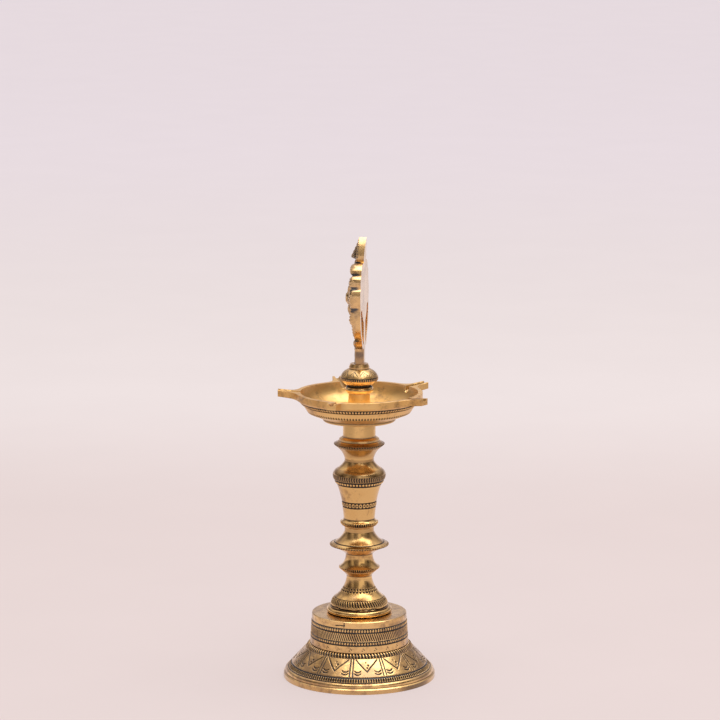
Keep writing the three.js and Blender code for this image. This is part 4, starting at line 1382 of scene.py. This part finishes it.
def shown_directly(tree):
    """1 for the camera, mirrors and glass, and 0 for light that spreads."""
    path = node(tree, "ShaderNodeLightPath")
    seen = math(tree, "ADD", path.outputs["Is Camera Ray"], path.outputs["Is Glossy Ray"], clamp=True)
    return math(tree, "ADD", seen, path.outputs["Is Transmission Ray"], clamp=True)


def floor_paper():
    """Pale paper that gets paler far off, with painted shade to the sides and towards the camera."""
    made, tree = material("floor_paper")
    place = node(tree, "ShaderNodeTexCoord").outputs["Object"]
    x, y, _ = node(tree, "ShaderNodeSeparateXYZ", {"Vector": place}).outputs
    near = blend(tree, ranged(tree, x, *FLOOR_PALER), FLOOR_NEAR, FLOOR_MIDDLE)
    colour = blend(tree, ranged(tree, x, *FLOOR_PALEST), near, FLOOR_FAR)
    mottle = ranged(tree, noise(tree, place, *MOTTLE), *MOTTLE_FROM, *MOTTLE_SHARES)
    sides = ranged(tree, math(tree, "ABSOLUTE", y), *SIDES_FROM)
    for along in (SIDES_BEHIND, SIDES_BEFORE):
        sides = math(tree, "MULTIPLY", sides, ranged(tree, x, *along))
    kept = math(tree, "MULTIPLY_ADD", sides, -SIDE_SHADE, mottle)
    kept = math(tree, "MULTIPLY_ADD", ranged(tree, x, *FRONT_FROM), -FRONT_SHADE, kept)
    colour = node(tree, "ShaderNodeVectorMath", {0: colour, "Scale": kept}, operation="SCALE").outputs[0]
    diffuse = node(tree, "ShaderNodeBsdfDiffuse", {"Color": colour}).outputs[0]
    glow = node(tree, "ShaderNodeEmission", {"Color": colour, "Strength": 1.0}).outputs[0]
    share = math(tree, "MULTIPLY", shown_directly(tree), SHOWN_SHARE)
    mixed = node(tree, "ShaderNodeMixShader", {0: share, 1: diffuse, 2: glow}).outputs[0]
    node(tree, "ShaderNodeOutputMaterial", {"Surface": mixed})
    return made


def studio_floor():
    mesh = bpy.data.meshes.new("floor")
    corners = [(*point, 0) for point in FLOOR_RADIUS * around(columns_round(FLOOR_CORNERS))]
    mesh.from_pydata(corners, [], [list(range(FLOOR_CORNERS))])
    floor = placed("floor", mesh)
    mesh.materials.append(floor_paper())


def softbox():
    light = bpy.data.lights.new("overhead", "AREA")
    light.shape = "RECTANGLE"
    light.size = light.size_y = SOFTBOX.side
    light.energy = SOFTBOX.power
    light.color = SOFTBOX.colour
    lamp = placed("overhead", light)
    lamp.location = SOFTBOX.place
    way = Vector(SOFTBOX.aim) - Vector(SOFTBOX.place)
    lamp.rotation_euler = way.to_track_quat("-Z", "Y").to_euler()


def within_angles(tree, value, middle, half):
    """1 within half an angle's width of its middle, with soft edges."""
    away = math(tree, "ABSOLUTE", math(tree, "SUBTRACT", value, middle))
    return ranged(tree, away, half + PATCH_SOFT, half - PATCH_SOFT)


def patch_of(tree, turn, climb, patch):
    """A soft-edged patch of the room, given by its place in degrees round and up."""
    middle, half, low, high = (radians(v) for v in patch)
    beside = within_angles(tree, turn, middle, half)
    above = within_angles(tree, climb, (low + high) / 2, (high - low) / 2)
    return math(tree, "MULTIPLY", beside, above)


def studio_world():
    """A pale room with soft lights, and dark gaps between them."""
    world = bpy.data.worlds.new("studio")
    bpy.context.scene.world = world
    world.use_nodes = True
    tree = world.node_tree
    tree.nodes.clear()
    way = node(tree, "ShaderNodeTexCoord").outputs["Generated"]
    x, y, z = node(tree, "ShaderNodeSeparateXYZ", {"Vector": way}).outputs
    turn = math(tree, "ARCTAN2", y, x)
    climb = math(tree, "ARCSINE", z)
    low = blend(tree, ranged(tree, x, *BACKDROP_FROM), ROOM, BACKDROP)
    high = blend(tree, ranged(tree, x, *SIDE_GLOW_BEHIND), ROOM, SIDE_GLOW)
    colour = blend(tree, ranged(tree, climb, *SIDE_GLOW_FROM), low, high)
    for patch, shade in ROOM_PATCHES:
        colour = blend(tree, patch_of(tree, turn, climb, patch), colour, shade)
    colour = blend(tree, ranged(tree, climb, *HORIZON), colour, FLOOR_FAR)
    aim = (sin(OVERHEAD_TILT), 0, cos(OVERHEAD_TILT))
    above = node(tree, "ShaderNodeVectorMath", {0: way, 1: aim}, operation="DOT_PRODUCT").outputs["Value"]
    colour = blend(tree, ranged(tree, above, *OVERHEAD_EDGE), colour, OVERHEAD)
    shader = node(tree, "ShaderNodeBackground", {"Color": colour, "Strength": 1.0})
    node(tree, "ShaderNodeOutputWorld", {"Surface": shader.outputs[0]})


def photo_camera():
    view = bpy.data.cameras.new("camera")
    view.lens = CAMERA.lens
    view.sensor_width = CAMERA.sensor
    view.shift_x = CAMERA.shift_share
    camera = placed("camera", view)
    camera.location = (
        CAMERA.distance * cos(CAMERA.turn), CAMERA.distance * sin(CAMERA.turn), CAMERA.height
    )
    camera.rotation_euler = (pi / 2 - CAMERA.pitch, 0, pi / 2 + CAMERA.turn)
    bpy.context.scene.camera = camera


studio_floor()
studio_world()
softbox()
photo_camera()
bpy.context.scene.view_settings.view_transform = "Standard"
